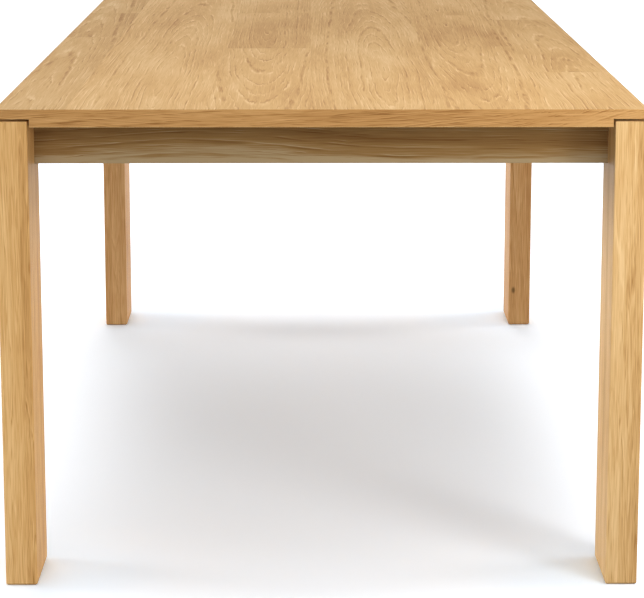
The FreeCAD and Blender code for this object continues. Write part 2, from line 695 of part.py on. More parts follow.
def make_glides():
    """A threaded insert, a steel stem and a round nylon base under each leg."""
    inner = "sizes.stem_diameter / 2 + sizes.thread_clearance"
    flange = "sizes.insert_flange_diameter / 2"
    outer = "sizes.insert_diameter / 2"
    collar = "sizes.insert_flange_thickness"
    insert = turned("insert", [
        (inner, "0"), (flange, "0"), (flange, collar), (outer, collar),
        (outer, "sizes.insert_length"), (inner, "sizes.insert_length"),
    ])
    under_flange = "sizes.recess_depth - sizes.insert_flange_thickness"
    node(four_corners(placed_at(insert, [((*GLIDE_PLACE, under_flange), UP)])), "threaded_inserts")

    radius = "sizes.stem_diameter / 2"
    narrow = f"{radius} - sizes.stem_chamfer"
    top = "sizes.stem_length"
    stem = turned("stem", [("0", "0"), (radius, "0"), (radius, f"{top} - sizes.stem_chamfer"),
                           (narrow, top), ("0", top)])
    socket = f"{radius} + sizes.thread_clearance"
    floor = "sizes.glide_thickness - sizes.stem_root"
    wide = "sizes.glide_diameter / 2"
    base = turned("glide", [("0", "0"), (wide, "0"), (wide, "sizes.glide_thickness"),
                            (socket, "sizes.glide_thickness"), (socket, floor), ("0", floor)])
    eased(base, "Fillet", "glide_round", lies_at("Y", 0))
    base_level = f"{under_flange} - sizes.glide_clearance - sizes.glide_thickness"
    x, y = GLIDE_PLACE
    corners = {"front_left": (x, y), "front_right": (f"-({x})", y),
               "rear_left": (x, f"-({y})"), "rear_right": (f"-({x})", f"-({y})")}
    for corner, (at_x, at_y) in corners.items():
        node(placed(stem, (at_x, at_y, stem_level()), pointing(UP)), f"glide_stem_{corner}")
        node(placed(base, (at_x, at_y, base_level), pointing(UP)), f"glide_base_{corner}")


make_top()
make_legs()
make_aprons()
make_bearers()
make_dowels()
make_corner_plates()
make_hanger_bolts()
make_brackets()
make_screws()
make_glides()
doc.recompute()

failed = [item.Name for item in doc.Objects if {"Invalid", "Error"} & set(item.State)]
if failed:
    raise RuntimeError(f"failed objects: {failed}")
shapes = {}
for piece in nodes:
    shape = Part.getShape(piece)
    if shape.isNull() or not shape.isValid() or not shape.Solids:
        raise RuntimeError(f"{piece.Label}: no valid solid")
    shapes[piece.Label] = shape
os.makedirs("parts", exist_ok=True)
for label, shape in shapes.items():
    shape.exportStep(f"parts/{label}.step")
    print(f"{label}: {len(shape.Solids)} solid(s), {shape.Volume:.0f} mm3")
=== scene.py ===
# %% [markdown]
# # An oak parsons table: the looks
#
# The table's pieces arrive already built, at their real size. This lesson gives every one of them
# its finish, models the small fittings that are too fine for the first model, and sets up the
# picture. Oak is nearly all that the eye meets, so most of the lesson is about oak: how a tree's
# yearly rings turn into arches on a table top and into straight lines on a leg.

# %% Load the finished pieces
import math

import bpy
from mathutils import Euler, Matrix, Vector


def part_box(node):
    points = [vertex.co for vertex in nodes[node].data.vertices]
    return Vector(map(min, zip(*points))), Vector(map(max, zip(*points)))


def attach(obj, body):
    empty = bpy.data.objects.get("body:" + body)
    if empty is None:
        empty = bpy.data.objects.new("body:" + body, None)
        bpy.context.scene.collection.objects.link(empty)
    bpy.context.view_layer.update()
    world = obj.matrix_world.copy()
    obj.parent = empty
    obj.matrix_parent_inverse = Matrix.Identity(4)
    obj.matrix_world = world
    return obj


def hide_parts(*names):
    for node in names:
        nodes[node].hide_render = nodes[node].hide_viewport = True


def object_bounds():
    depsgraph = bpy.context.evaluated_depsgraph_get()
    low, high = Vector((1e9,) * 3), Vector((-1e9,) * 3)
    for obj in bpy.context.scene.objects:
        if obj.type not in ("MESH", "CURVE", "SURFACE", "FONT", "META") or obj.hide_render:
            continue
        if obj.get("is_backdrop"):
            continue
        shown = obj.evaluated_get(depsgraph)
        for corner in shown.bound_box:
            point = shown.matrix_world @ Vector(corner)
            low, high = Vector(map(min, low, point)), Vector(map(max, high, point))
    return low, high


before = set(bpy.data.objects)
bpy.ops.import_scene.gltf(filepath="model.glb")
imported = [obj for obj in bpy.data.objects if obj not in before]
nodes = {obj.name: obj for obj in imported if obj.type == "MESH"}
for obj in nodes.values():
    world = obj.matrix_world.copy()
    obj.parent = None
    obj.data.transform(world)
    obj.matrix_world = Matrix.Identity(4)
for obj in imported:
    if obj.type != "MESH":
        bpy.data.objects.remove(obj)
cad_low, cad_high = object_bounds()
table_size = cad_high - cad_low
print("pieces:", len(nodes), "table size in mm:", [round(side * 1000) for side in table_size])

# %% [markdown]
# ## Small tools for finishes
#
# A finish in Blender is a tree of nodes. Colours are picked as screen values, in hex, but light
# adds up in linear values, so one function translates. A second function adds any node, sets it
# and wires it up, so that each finish below reads as a list of steps.

# %% Colour and node helpers
MM_PER_M = 1000


def linear(hex_colour, tone=1.0):
    """Turns an sRGB hex colour into a linear one, lightened or darkened by a tone."""
    levels = [int(hex_colour[place:place + 2], 16) / 255 for place in (1, 3, 5)]
    light = [v / 12.92 if v <= 0.04045 else ((v + 0.055) / 1.055) ** 2.4 for v in levels]
    return (*[tone * v for v in light], 1.0)


def add(tree, kind, inputs=None, **settings):
    """Adds one node to a tree, with its settings, and fills or links its inputs."""
    node = tree.nodes.new("ShaderNode" + kind)
    for name, value in settings.items():
        setattr(node, name, value)
    for socket, value in (inputs or {}).items():
        if isinstance(value, bpy.types.NodeSocket):
            tree.links.new(value, node.inputs[socket])
        else:
            node.inputs[socket].default_value = value
    return node


def ramp(node, stops):
    """Sets a colour ramp's stops from pairs of a position and a colour."""
    marks = node.color_ramp.elements
    while len(marks) < len(stops):
        marks.new(1.0)
    for mark, (position, colour) in zip(marks, stops):
        mark.position = position
        mark.color = colour


def grey(value):
    """A ramp colour that carries a plain number."""
    return (value, value, value, 1.0)


def new_finish(name):
    """Starts a material and returns it with its node tree and its shader."""
    finish = bpy.data.materials.new(name)
    finish.use_nodes = True
    return finish, finish.node_tree, finish.node_tree.nodes["Principled BSDF"]


def wear(finish, *names):
    """Puts a finish on the named pieces."""
    for name in names:
        for slot in nodes[name].material_slots:
            slot.material = finish


print("oak sample colour, linear:", [round(v, 3) for v in linear("#c99f68")])

# %% [markdown]
# ## Oak, step one: the board's own space
#
# Wood is a solid pattern, so it is drawn in three dimensions and every face cuts through it, as a
# saw would. First the pattern is turned to lie along the board, measured in millimetres from the
# pith, the centre line of the tree. Then three noises bend it: a slow sway, because no trunk is
# straight, a ripple, and a fine feathering, because a pore doesn't stop where its ring does.
# Where a branch stood, the rings bulge around it.

# %% Turn and bend the grain
TURN_TO_GRAIN = {
    "X": (0, 0, math.radians(90)),
    "Y": (0, 0, 0),
    "Z": (math.radians(-90), 0, 0),
}
BENDS_MM = (
    # how wide and how long one bend is, and how much detail it has
    (150, 620, 1.5),
    (26, 170, 2.5),
    (3.5, 55, 1.0),
)
# a seed moves a board's noises by this much, so that no two boards are alike
SEED_STEPS = (1.0, 1.7, 0.6)


def stretched(tree, vector, across, along, seed):
    """Scales board millimetres so that one noise cell is that wide and that long."""
    return add(tree, "Mapping", {
        "Vector": vector,
        "Location": [seed * step for step in SEED_STEPS],
        "Scale": (1 / across, 1 / along, 1 / across),
    }).outputs[0]


def board_space(tree, along, pith, wander, seed, shift=None, branch=None):
    """Returns board millimetres from the pith: straight, swayed like fibres, bent like rings."""
    turn = TURN_TO_GRAIN[along]
    centre = Euler(turn).to_matrix() @ (Vector(pith) * MM_PER_M)
    place = add(tree, "TexCoord").outputs["Object"]
    straight = add(tree, "Mapping", {
        "Vector": place,
        "Location": -centre,
        "Rotation": turn,
        "Scale": (MM_PER_M,) * 3,
    }).outputs[0]
    if shift:
        straight = add(tree, "VectorMath", {0: straight, 1: shift}, operation="ADD").outputs[0]
    swayed = bent = straight
    for (across, length, detail), (aside, deep) in zip(BENDS_MM, wander):
        swayed = bent
        noise = add(tree, "TexNoise", {
            "Vector": stretched(tree, straight, across, length, seed),
            "Scale": 1.0,
            "Detail": detail,
        })
        swing = add(tree, "VectorMath", {
            0: noise.outputs["Color"],
            1: (2 * aside, 0, 2 * deep),
            2: (-aside, 0, -deep),
        }, operation="MULTIPLY_ADD").outputs[0]
        bent = add(tree, "VectorMath", {0: bent, 1: swing}, operation="ADD").outputs[0]
    if branch:
        stood_at, reach, lift = branch
        run = add(tree, "SeparateXYZ", {0: straight}).outputs["Y"]
        away = add(tree, "Math", {0: run, 1: stood_at}, operation="SUBTRACT").outputs[0]
        distance = add(tree, "Math", {0: away}, operation="ABSOLUTE").outputs[0]
        bulge = add(tree, "MapRange", {0: distance, 1: 0.0, 2: reach, 3: lift, 4: 0.0},
                    interpolation_type="SMOOTHSTEP").outputs[0]
        push = add(tree, "CombineXYZ", {"Z": bulge}).outputs[0]
        bent = add(tree, "VectorMath", {0: bent, 1: push}, operation="ADD").outputs[0]
    return straight, swayed, bent


print("grain turns for boards along", ", ".join(TURN_TO_GRAIN))

# %% [markdown]
# ## Oak, step two: the yearly rings
#
# Each year oak lays down a band of open pores in spring and a band of dense wood in summer. The
# distance from the pith says which year a point belongs to. The trunk tapers, so the pith comes
# nearer to the face along the board, and that one slope is what draws the arches of crown-cut
# oak. Far from the pith the same sum gives straight lines. Rings here are about twice as wide as
# an oak's, because real ones would be lost between the picture's pixels.

# %% Count the rings
YEARS_PER_GOOD_SPELL = 5
WEATHER_PER_YEAR = 0.6
WEATHER_SWING_YEARS = 1.6
SEASONS = (
    # share of the year, and how brown its wood is
    (0.0, 0.48),
    (0.09, 0.90),
    (0.17, 0.60),
    (0.27, 0.0),
    (0.38, 0.42),
    (1.0, 0.48),
)


def growth_rings(tree, bent, rise, ring, seed):
    """Returns how brown a ring is from spring to summer, and a slow run of good and lean years."""
    parts = add(tree, "SeparateXYZ", {0: bent}).outputs
    depth = add(tree, "Math", {
        0: parts["Y"], 1: rise, 2: parts["Z"],
    }, operation="MULTIPLY_ADD").outputs[0]
    section = add(tree, "CombineXYZ", {"X": parts["X"], "Z": depth}).outputs[0]
    radius = add(tree, "VectorMath", {0: section}, operation="LENGTH").outputs["Value"]
    even = add(tree, "Math", {0: radius, 1: ring}, operation="DIVIDE").outputs[0]
    weather = add(tree, "TexNoise", {
        "W": even, "Scale": WEATHER_PER_YEAR, "Detail": 1.0,
    }, noise_dimensions="1D").outputs[0]
    years = add(tree, "Math", {
        0: weather, 1: WEATHER_SWING_YEARS, 2: even,
    }, operation="MULTIPLY_ADD").outputs[0]
    season = add(tree, "Math", {0: years}, operation="FRACT").outputs[0]
    season_tone = add(tree, "ValToRGB", {0: season})
    ramp(season_tone, [(share, grey(brown)) for share, brown in SEASONS])
    aged = add(tree, "Math", {
        0: years, 1: 1 / YEARS_PER_GOOD_SPELL, 2: seed,
    }, operation="MULTIPLY_ADD").outputs[0]
    spell = add(tree, "TexNoise", {"W": aged, "Scale": 1.0, "Detail": 2.0}, noise_dimensions="1D")
    return season_tone.outputs[0], spell.outputs[0]


print("years in one good or lean spell:", YEARS_PER_GOOD_SPELL)

# %% [markdown]
# ## Oak, step three: pores, fibres and colour
#
# Cut lengthways, the spring pores show as short dark dashes, and between them run fine fibres and
# pale flecks, which are the rays. All of these are noises stretched along the grain. A slower
# noise lets the figure stand out in one place and fade in another. Where strips are glued together,
# a ramp with sharp steps gives each its own brown and shifts its grain. A ramp with soft steps
# gives a slow change of colour instead. Everything is then added up to one number, from pale to
# brown, and a ramp of three oak colours paints it. The lacquer is nearly matt: it mirrors little,
# and least in the pores, which it doesn't fill.

# %% Marks in the grain
GRAIN = {
    # how wide and how long each mark is in mm, its detail and a step to a noise of its own; real
    # pores and rays are about 0.3 mm wide, and are drawn four times as wide so that they show
    "tick": (1.2, 50, 1.0, 0),
    "fibre": (1.5, 90, 2.0, 0),
    "fleck": (1.3, 150, 1.0, 5),
    "streak": (13, 260, 3.0, 6),
    "vigour": (16, 80, 1.0, 8),
    "patch": (110, 420, 2.0, 3),
}
CROWN_MARKS = {
    # how much browner each mark makes the wood
    "patch": 0.70, "streak": 0.28, "spell": 0.22, "fibre": 0.22,
    "lines": 0.75, "tick": 0.25, "fleck": -0.24, "strip": 1.0,
}
STRAIGHT_MARKS = {
    "patch": 0.45, "streak": 0.40, "spell": 0.45, "fibre": 0.70,
    "lines": 0.40, "tick": 0.15, "fleck": -0.10, "strip": 1.0,
}
QUIET_SHARE = 0.45
QUIET_MARKS = {mark: share * QUIET_SHARE for mark, share in STRAIGHT_MARKS.items()}


def grain_noise(tree, vector, mark, seed):
    """A noise as wide and as long as one kind of mark in the grain."""
    wide, long, detail, step = GRAIN[mark]
    return add(tree, "TexNoise", {
        "Vector": stretched(tree, vector, wide, long, seed + step),
        "Scale": 1.0,
        "Detail": detail,
    }).outputs[0]


print("pores are drawn", GRAIN["tick"][0], "mm wide and", GRAIN["tick"][1], "mm long")

# %% Strips that are glued together
PLAIN = 0.5


def glue_lines(tree, side, low, high, strips, spread, change="CONSTANT"):
    """Splits a piece along one axis: returns how brown a strip is and a shift to its own grain."""
    place = add(tree, "TexCoord").outputs["Object"]
    across = add(tree, "SeparateXYZ", {0: place}).outputs[side]
    share = add(tree, "MapRange", {0: across, 1: low, 2: high}).outputs[0]
    steps = add(tree, "ValToRGB", {0: share})
    steps.color_ramp.interpolation = change
    ramp(steps, [(start, grey(PLAIN + browner)) for start, browner in strips])
    strip = steps.outputs[0]
    shift = add(tree, "VectorMath", {
        0: strip, 1: spread, 2: Vector(spread) * -PLAIN,
    }, operation="MULTIPLY_ADD").outputs[0]
    return strip, shift


print("plain wood lies at", PLAIN, "between pale and brown")

# %% The wood finish
OAK_COLOURS = ("#dcb780", "#c99d63", "#a0713c")
COLOUR_STOPS = (0.15, PLAIN, 1.0)
# how far the sway, the ripple and the feathering swing aside and in depth, in mm
GENTLE_BENDS = ((12, 10), (2.2, 1.6), (0.6, 0.6))
SEASON_PLAIN = 0.45
USUAL_PORES, USUAL_FLECKS = 0.12, 0.1
# noise values between which the figure, the pores and the flecks come in
VIGOUR_LOW, VIGOUR_HIGH = 0.42, 0.64
PORE_LOW, PORE_HIGH = 0.52, 0.66
FLECK_LOW, FLECK_HIGH = 0.60, 0.70
# how strong the figure is where it fades and where it is full
FADED_FIGURE, FULL_FIGURE = 0.05, 1.1
# roughness of dense summer wood and of open pores under thin lacquer
SMOOTH_WOOD, OPEN_WOOD = 0.38, 0.52
LACQUER_IOR = 1.5
LACQUER_SHINE = 0.06
FIBRE_RELIEF = 0.3
RELIEF_SHARE = 0.35
PORE_DEEP_M = 0.00025


def wood(name, along, pith, rise=0.0, ring=6.0, tone=1.0, marks=STRAIGHT_MARKS, wander=GENTLE_BENDS,
         seed=0.0, colours=OAK_COLOURS, glued=None, branch=None):
    """Lacquered wood for one board: nearly matt, pale summer wood, browner along its pores."""
    finish, tree, shader = new_finish(name)
    strip, strip_shift = glue_lines(tree, *glued) if glued else (PLAIN, None)
    straight, swayed, bent = board_space(tree, along, pith, wander, seed, strip_shift, branch)
    season_tone, spell = growth_rings(tree, bent, rise, ring, seed)

    vigour = add(tree, "MapRange", {
        0: grain_noise(tree, straight, "vigour", seed),
        1: VIGOUR_LOW, 2: VIGOUR_HIGH, 3: FADED_FIGURE, 4: FULL_FIGURE,
    }).outputs[0]
    swing = add(tree, "Math", {0: season_tone, 1: SEASON_PLAIN}, operation="SUBTRACT").outputs[0]
    pores = add(tree, "MapRange", {
        0: grain_noise(tree, swayed, "tick", seed), 1: PORE_LOW, 2: PORE_HIGH,
    }).outputs[0]
    parts = {
        # each mark with its usual value, which leaves the wood as it is
        "patch": (grain_noise(tree, straight, "patch", seed), PLAIN),
        "streak": (grain_noise(tree, straight, "streak", seed), PLAIN),
        "spell": (spell, PLAIN),
        "fibre": (grain_noise(tree, swayed, "fibre", seed), PLAIN),
        "lines": (add(tree, "Math", {0: swing, 1: vigour}, operation="MULTIPLY").outputs[0], 0.0),
        "tick": (add(tree, "Math", {0: pores, 1: season_tone}, operation="MULTIPLY").outputs[0],
                 USUAL_PORES),
        "fleck": (add(tree, "MapRange", {
            0: grain_noise(tree, swayed, "fleck", seed), 1: FLECK_LOW, 2: FLECK_HIGH,
        }).outputs[0], USUAL_FLECKS),
        "strip": (strip, PLAIN),
    }
    brown = PLAIN - sum(usual * marks[mark] for mark, (_, usual) in parts.items())
    for mark, (part, _) in parts.items():
        brown = add(tree, "Math", {
            0: part, 1: marks[mark], 2: brown,
        }, operation="MULTIPLY_ADD").outputs[0]
    paint = add(tree, "ValToRGB", {0: brown})
    ramp(paint, [(stop, linear(colour, tone)) for stop, colour in zip(COLOUR_STOPS, colours)])
    tree.links.new(paint.outputs[0], shader.inputs["Base Color"])

    rough = add(tree, "MapRange", {0: brown, 3: SMOOTH_WOOD, 4: OPEN_WOOD}).outputs[0]
    tree.links.new(rough, shader.inputs["Roughness"])
    shader.inputs["IOR"].default_value = LACQUER_IOR
    shader.inputs["Specular IOR Level"].default_value = LACQUER_SHINE
    relief = add(tree, "Math", {
        0: parts["fibre"][0], 1: FIBRE_RELIEF, 2: parts["tick"][0],
    }, operation="MULTIPLY_ADD").outputs[0]
    bump = add(tree, "Bump", {
        "Height": relief, "Strength": RELIEF_SHARE, "Distance": PORE_DEEP_M,
    }, invert=True)
    tree.links.new(bump.outputs[0], shader.inputs["Normal"])
    return finish


print("a board of oak has", len(STRAIGHT_MARKS), "kinds of mark")

# %% [markdown]
# ## The six leaves of the top
#
# The top is veneered with six leaves, laid side by side along the table. Each was sliced off a
# flitch parallel to the bark, so it has arches down its middle and straight grain at its edges.
# A leaf needs four facts: where its crown lies across it, how deep the pith is under it, which
# way the arches point and how light it is. The leaves come from different flitches. Each is
# pieced together from two or three lengths, some browner, with a straight joint between.

# %% Veneer for the top
LEAF_COLOURS = ("#debb88", "#caa169", "#a27543")
LEAF_BENDS = ((16, 2.5), (4.0, 0.8), (0.6, 1.8))
LEAF_RING_MM = 7.0
LENGTH_SPREAD_MM = (0, 4200, 0)
LEAVES = {
    # name: (crown across the leaf as a share, pith depth in mm, rise, tone,
    #        lengths from the front as start share and how much browner, seed)
    # the first leaf's lower tone is partly painted shade: that side of the top gets less light
    "top_veneer_leaf_1": (0.30, 62, 0.020, 0.89, ((0.0, 0.0), (0.54, 0.08), (0.80, 0.0)), 1.3),
    "top_veneer_leaf_2": (0.60, 30, 0.042, 0.955, ((0.0, -0.02), (0.85, -0.04)), 2.9),
    "top_veneer_leaf_3": (0.48, 34, -0.048, 0.94, ((0.0, 0.0), (0.435, 0.09), (0.80, -0.01)), 4.1),
    "top_veneer_leaf_4": (0.57, 28, 0.050, 0.93, ((0.0, -0.02), (0.88, -0.05)), 5.7),
    "top_veneer_leaf_5": (0.40, 36, -0.040, 0.95, ((0.0, 0.0), (0.453, 0.09), (0.77, 0.01)), 7.7),
    "top_veneer_leaf_6": (0.59, 48, 0.034, 0.93, ((0.0, -0.05), (0.24, 0.05), (0.72, -0.04)), 9.2),
}
for leaf, (crown, deep, rise, tone, lengths, seed) in LEAVES.items():
    low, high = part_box(leaf)
    pith = (low.x + crown * (high.x - low.x), 0, high.z - deep / MM_PER_M)
    joints = ("Y", low.y, high.y, lengths, LENGTH_SPREAD_MM)
    veneer = wood("crown_cut_oak_" + leaf[-6:], "Y", pith, rise, LEAF_RING_MM, tone, CROWN_MARKS,
                  LEAF_BENDS, seed, LEAF_COLOURS, joints)
    wear(veneer, leaf)
    print(leaf, "is", round((high.x - low.x) * MM_PER_M), "mm wide")

# %% Veneer for the underside
UNDERSIDE_PITH_M = (0.9, 0, 0.4)
UNDERSIDE_RISE = 0.004
UNDERSIDE_TONE = 0.9
underside = wood("straight_oak_underside", "Y", UNDERSIDE_PITH_M, UNDERSIDE_RISE, LEAF_RING_MM,
                 UNDERSIDE_TONE, seed=11.0)
wear(underside, "underside_veneer")
print("underside: one straight-grained sheet")

# %% [markdown]
# ## Lippings and aprons
#
# The top's edges are solid strips, darker and redder than the veneer. They are painted a little
# paler towards one end, as painted light that falls from the right. Their grain runs along the edge
# at a slight slant, because a strip is seldom cut quite true to the tree. The aprons are boards
# sawn away from the pith, so their lines run nearly straight, and the front one rises in a long
# hump where a branch stood. They are painted darker than the legs, browner towards the top as
# painted shade under the top's overhang, and paler at their lower edge as painted light bounced up
# from the floor.

# %% Oak for the edges
EDGE_COLOURS = ("#c89b63", "#b68750", "#8c5f32")
EDGE_RING_MM = 4.0
EDGE_BENDS = ((14, 14), (2.5, 2.5), (0.6, 0.6))
EDGE_MARKS = {**STRAIGHT_MARKS, "streak": 0.42, "fibre": 0.75, "lines": 0.75, "tick": 0.70}
# painted light: each strip is painted paler towards the high end of its length, standing for light
# that falls on that end
PAINTED_LIGHT_AT_END = ((0.0, 0.03), (0.6, 0.0), (1.0, -0.21))
SAME_GRAIN = (0, 0, 0)
for name, along, pith, rise, branch, seed in (
    # a branch is given by where it stood, how far its bulge reaches and how high it lifts, in mm
    ("end_lipping_front", "X", (0, -1.06, 0.60), -0.09, (560, 300, -45), 13.1),
    ("end_lipping_rear", "X", (0, 1.06, 0.60), 0.07, (-380, 260, 30), 14.7),
    ("side_lipping_left", "Y", (-0.56, 0, 0.60), 0.03, (520, 340, 26), 15.2),
    ("side_lipping_right", "Y", (0.56, 0, 0.60), -0.03, (-240, 320, 28), 16.8),
):
    start, end = [getattr(corner, along.lower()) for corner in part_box(name)]
    fade = (along, start, end, PAINTED_LIGHT_AT_END, SAME_GRAIN, "EASE")
    strip = wood("solid_oak_" + name, along, pith, rise, EDGE_RING_MM, 1.0, EDGE_MARKS, EDGE_BENDS,
                 seed, EDGE_COLOURS, fade, branch)
    wear(strip, name)
print("edge strips: 4")

# %% Oak for the aprons
# the pale end of these colours is partly painted light: it stands for the floor's light bounced
# onto the aprons' lower edge
APRON_COLOURS = ("#e6c896", "#c6995c", "#9c6c36")
# painted shade: the end aprons are painted much darker than the legs, standing for the shade under
# the top's overhang
END_APRON_SHADED_TONE = 0.43
# a milder painted shade on the side aprons
SIDE_APRON_SHADED_TONE = 0.80
APRON_RING_MM = 5.0
APRON_RISE = 0.010
APRON_BENDS = ((6, 6), (2.0, 2.0), (0.6, 0.6))
APRON_MARKS = {**STRAIGHT_MARKS, "lines": 0.80, "spell": 0.60}
# painted shade and light: each apron is painted browner towards its top, where the overhang shades
# it, and paler at its lower edge, where light bounces up from the floor
MUCH_PAINTED_SHADE = ((0.0, -0.52), (0.28, 0.04), (0.6, 0.12), (1.0, 0.08))
SOME_PAINTED_SHADE = ((0.0, -0.12), (0.4, 0.0), (1.0, 0.05))
END_APRON = ("X", END_APRON_SHADED_TONE, MUCH_PAINTED_SHADE)
SIDE_APRON = ("Y", SIDE_APRON_SHADED_TONE, SOME_PAINTED_SHADE)
for name, (along, tone, painted_shade), pith, branch, seed in (
    ("end_apron_front", END_APRON, (0, -1.02, 0.60), (-195, 330, -22), 21.4),
    ("end_apron_rear", END_APRON, (0, 1.02, 0.60), (140, 300, 18), 22.6),
    ("side_apron_left", SIDE_APRON, (-0.60, 0, 0.60), (-420, 380, -16), 23.3),
    ("side_apron_right", SIDE_APRON, (0.60, 0, 0.60), (260, 340, 18), 24.9),
):
    low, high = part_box(name)
    fade = ("Z", low.z, high.z, painted_shade, SAME_GRAIN, "EASE")
    board = wood("solid_oak_" + name, along, pith, APRON_RISE, APRON_RING_MM, tone, APRON_MARKS,
                 APRON_BENDS, seed, APRON_COLOURS, fade, branch)
    wear(board, name)
print("aprons: 4 boards")

# %% [markdown]
# ## The legs
#
# A leg is three boards glued face to face, which the narrow side shows as three strips, each
# with its own brown and grain. Where they lie across the leg tells them apart. One leg at the back
# has a small knot near its foot: a dark core, drawn by the distance from its middle.

# %% Oak for the legs
LEG_RING_MM = 5.0
LEG_RISE = 0.008
LEG_BENDS = ((12, 12), (2.0, 2.0), (0.6, 0.6))
LEG_MARKS = {**STRAIGHT_MARKS, "streak": 0.30, "fibre": 0.75, "tick": 0.40, "fleck": -0.25}
RIGHT_LEG_COLOURS = ("#dcba87", "#c9a16a", "#a07543")
REAR_LEG_COLOURS = ("#dfb480", "#cb9a63", "#a36f3d")
STRIP_SPREAD_MM = (150, 3500, 280)
PITH_ASIDE_M = -0.06
PITH_BEHIND_M = 0.28
UP_THE_TRUNK_M = 4.1
LEGS = {
    # name: (colours, tone, strips from left to right as start share and how much browner, seed)
    "leg_front_left": (OAK_COLOURS, 1.13, ((0.0, -0.04), (0.36, 0.0), (0.70, 0.14)), 31.0),
    "leg_front_right": (RIGHT_LEG_COLOURS, 1.06, ((0.0, -0.03), (0.38, 0.02), (0.71, 0.08)), 32.7),
    "leg_rear_left": (REAR_LEG_COLOURS, 1.06, ((0.0, 0.05), (0.33, -0.06), (0.67, 0.10)), 33.9),
    "leg_rear_right": (REAR_LEG_COLOURS, 0.97, ((0.0, 0.07), (0.36, -0.05), (0.74, 0.06)), 35.2),
}
leg_finishes = {}
for leg, (colours, tone, strips, seed) in LEGS.items():
    low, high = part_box(leg)
    pith = ((low.x + high.x) / 2 + PITH_ASIDE_M, low.y + PITH_BEHIND_M, -UP_THE_TRUNK_M)
    joints = ("X", low.x, high.x, strips, STRIP_SPREAD_MM)
    leg_finishes[leg] = wood("glued_oak_" + leg, "Z", pith, LEG_RISE, LEG_RING_MM, tone, LEG_MARKS,
                             LEG_BENDS, seed, colours, joints)
    wear(leg_finishes[leg], leg)
    print(leg, "has", len(strips), "strips")

# %% A knot in one leg
KNOT_UP_MM = 83
KNOT_ASIDE_MM = 11
KNOT_HALF_SIZE_MM = (6, 30, 11)
KNOT_CORE_SHARE = 0.25
KNOT_DARKEST = 0.38


def grow_knot(finish, place, half_size_mm):
    """Darkens a finish around one point, most at its middle."""
    tree = finish.node_tree
    shader = tree.nodes["Principled BSDF"]
    clear = shader.inputs["Base Color"].links[0].from_socket
    scale = Vector([MM_PER_M / half for half in half_size_mm])
    away = add(tree, "Mapping", {
        "Vector": add(tree, "TexCoord").outputs["Object"],
        "Location": -(Vector(place) * scale),
        "Scale": scale,
    }).outputs[0]
    distance = add(tree, "VectorMath", {0: away}, operation="LENGTH").outputs["Value"]
    shade = add(tree, "MapRange", {
        0: distance, 1: KNOT_CORE_SHARE, 2: 1.0, 3: KNOT_DARKEST, 4: 1.0,
    }, interpolation_type="SMOOTHSTEP").outputs[0]
    knotted = add(tree, "VectorMath", {0: clear, "Scale": shade}, operation="SCALE").outputs[0]
    tree.links.new(knotted, shader.inputs["Base Color"])


low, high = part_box("leg_rear_right")
knot_place = (low.x + KNOT_ASIDE_MM / MM_PER_M, low.y, KNOT_UP_MM / MM_PER_M)
grow_knot(leg_finishes["leg_rear_right"], knot_place, KNOT_HALF_SIZE_MM)
print("knot at", [round(v, 3) for v in knot_place])

# %% [markdown]
# ## What the oak hides
#
# Under the veneer is a fibre board, brown and speckled like strong paper. The bearers and dowels
# are steamed beech: pinker than oak and almost without figure, so the wood finish serves again
# with weaker marks.

# %% Fibre board and beech
FIBRE_SPECK_MM = 1.5
FIBRE_COLOURS = ((0.3, "#7d5f3f"), (0.5, "#9c7a54"), (0.7, "#b4946b"))
FIBRE_ROUGHNESS = (0.75, 0.9)
BEECH_COLOURS = ("#dcb08a", "#d0a078", "#b5845b")
BEECH_RING_MM = 5.0
BEECH_TONE = 0.9


def fibre_board():
    """Pressed wood fibre: matt and brown, a speckle of lighter and darker strands."""
    finish, tree, shader = new_finish("pressed_fibre_board")
    place = add(tree, "TexCoord").outputs["Object"]
    strands = add(tree, "TexNoise", {
        "Vector": place, "Scale": MM_PER_M / FIBRE_SPECK_MM, "Detail": 3.0, "Roughness": 0.7,
    }).outputs[0]
    paint = add(tree, "ValToRGB", {0: strands})
    ramp(paint, [(stop, linear(colour)) for stop, colour in FIBRE_COLOURS])
    tree.links.new(paint.outputs[0], shader.inputs["Base Color"])
    least, most = FIBRE_ROUGHNESS
    rough = add(tree, "MapRange", {0: strands, 3: least, 4: most}).outputs[0]
    tree.links.new(rough, shader.inputs["Roughness"])
    return finish


wear(fibre_board(), "top_core")
for use, pith, rise, seed, names in (
    ("bearers", (0, 0.09, 0.60), 0.004, 41.0, ("cross_bearer_front", "cross_bearer_rear")),
    ("dowels", (0, 0.30, 0.60), 0.0, 43.0, ("apron_dowels", "bearer_dowels")),
):
    beech = wood("steamed_beech_" + use, "X", pith, rise, BEECH_RING_MM, BEECH_TONE, QUIET_MARKS,
                 seed=seed, colours=BEECH_COLOURS)
    wear(beech, *names)
print("fibre board and beech laid")

# %% [markdown]
# ## Steel and nylon
#
# Plates, brackets and threads are steel with a bright zinc coat: a cool grey metal that mirrors
# dimly, clouded where the bath left more zinc. The feet are black nylon, moulded in a mould
# that was etched, so their skin has a fine even grain.

# %% Zinc and nylon finishes
CLOUD_MM = 7
SCRATCH_MM = (0.25, 9)
CLOUD_BLUR = 0.5
BLUR_LOW, BLUR_HIGH = 0.4, 1.1
ZINC_COLOURS = ((0.3, "#a4abb0"), (0.7, "#c6cbcf"))
ZINC_ROUGHNESS = (0.26, 0.46)
NYLON_GRAIN_MM = 0.6
NYLON_COLOURS = ((0.3, "#17181a"), (0.7, "#26282b"))
NYLON_ROUGHNESS = (0.48, 0.62)
NYLON_RELIEF_SHARE = 0.4
NYLON_GRAIN_DEEP_M = 0.0002


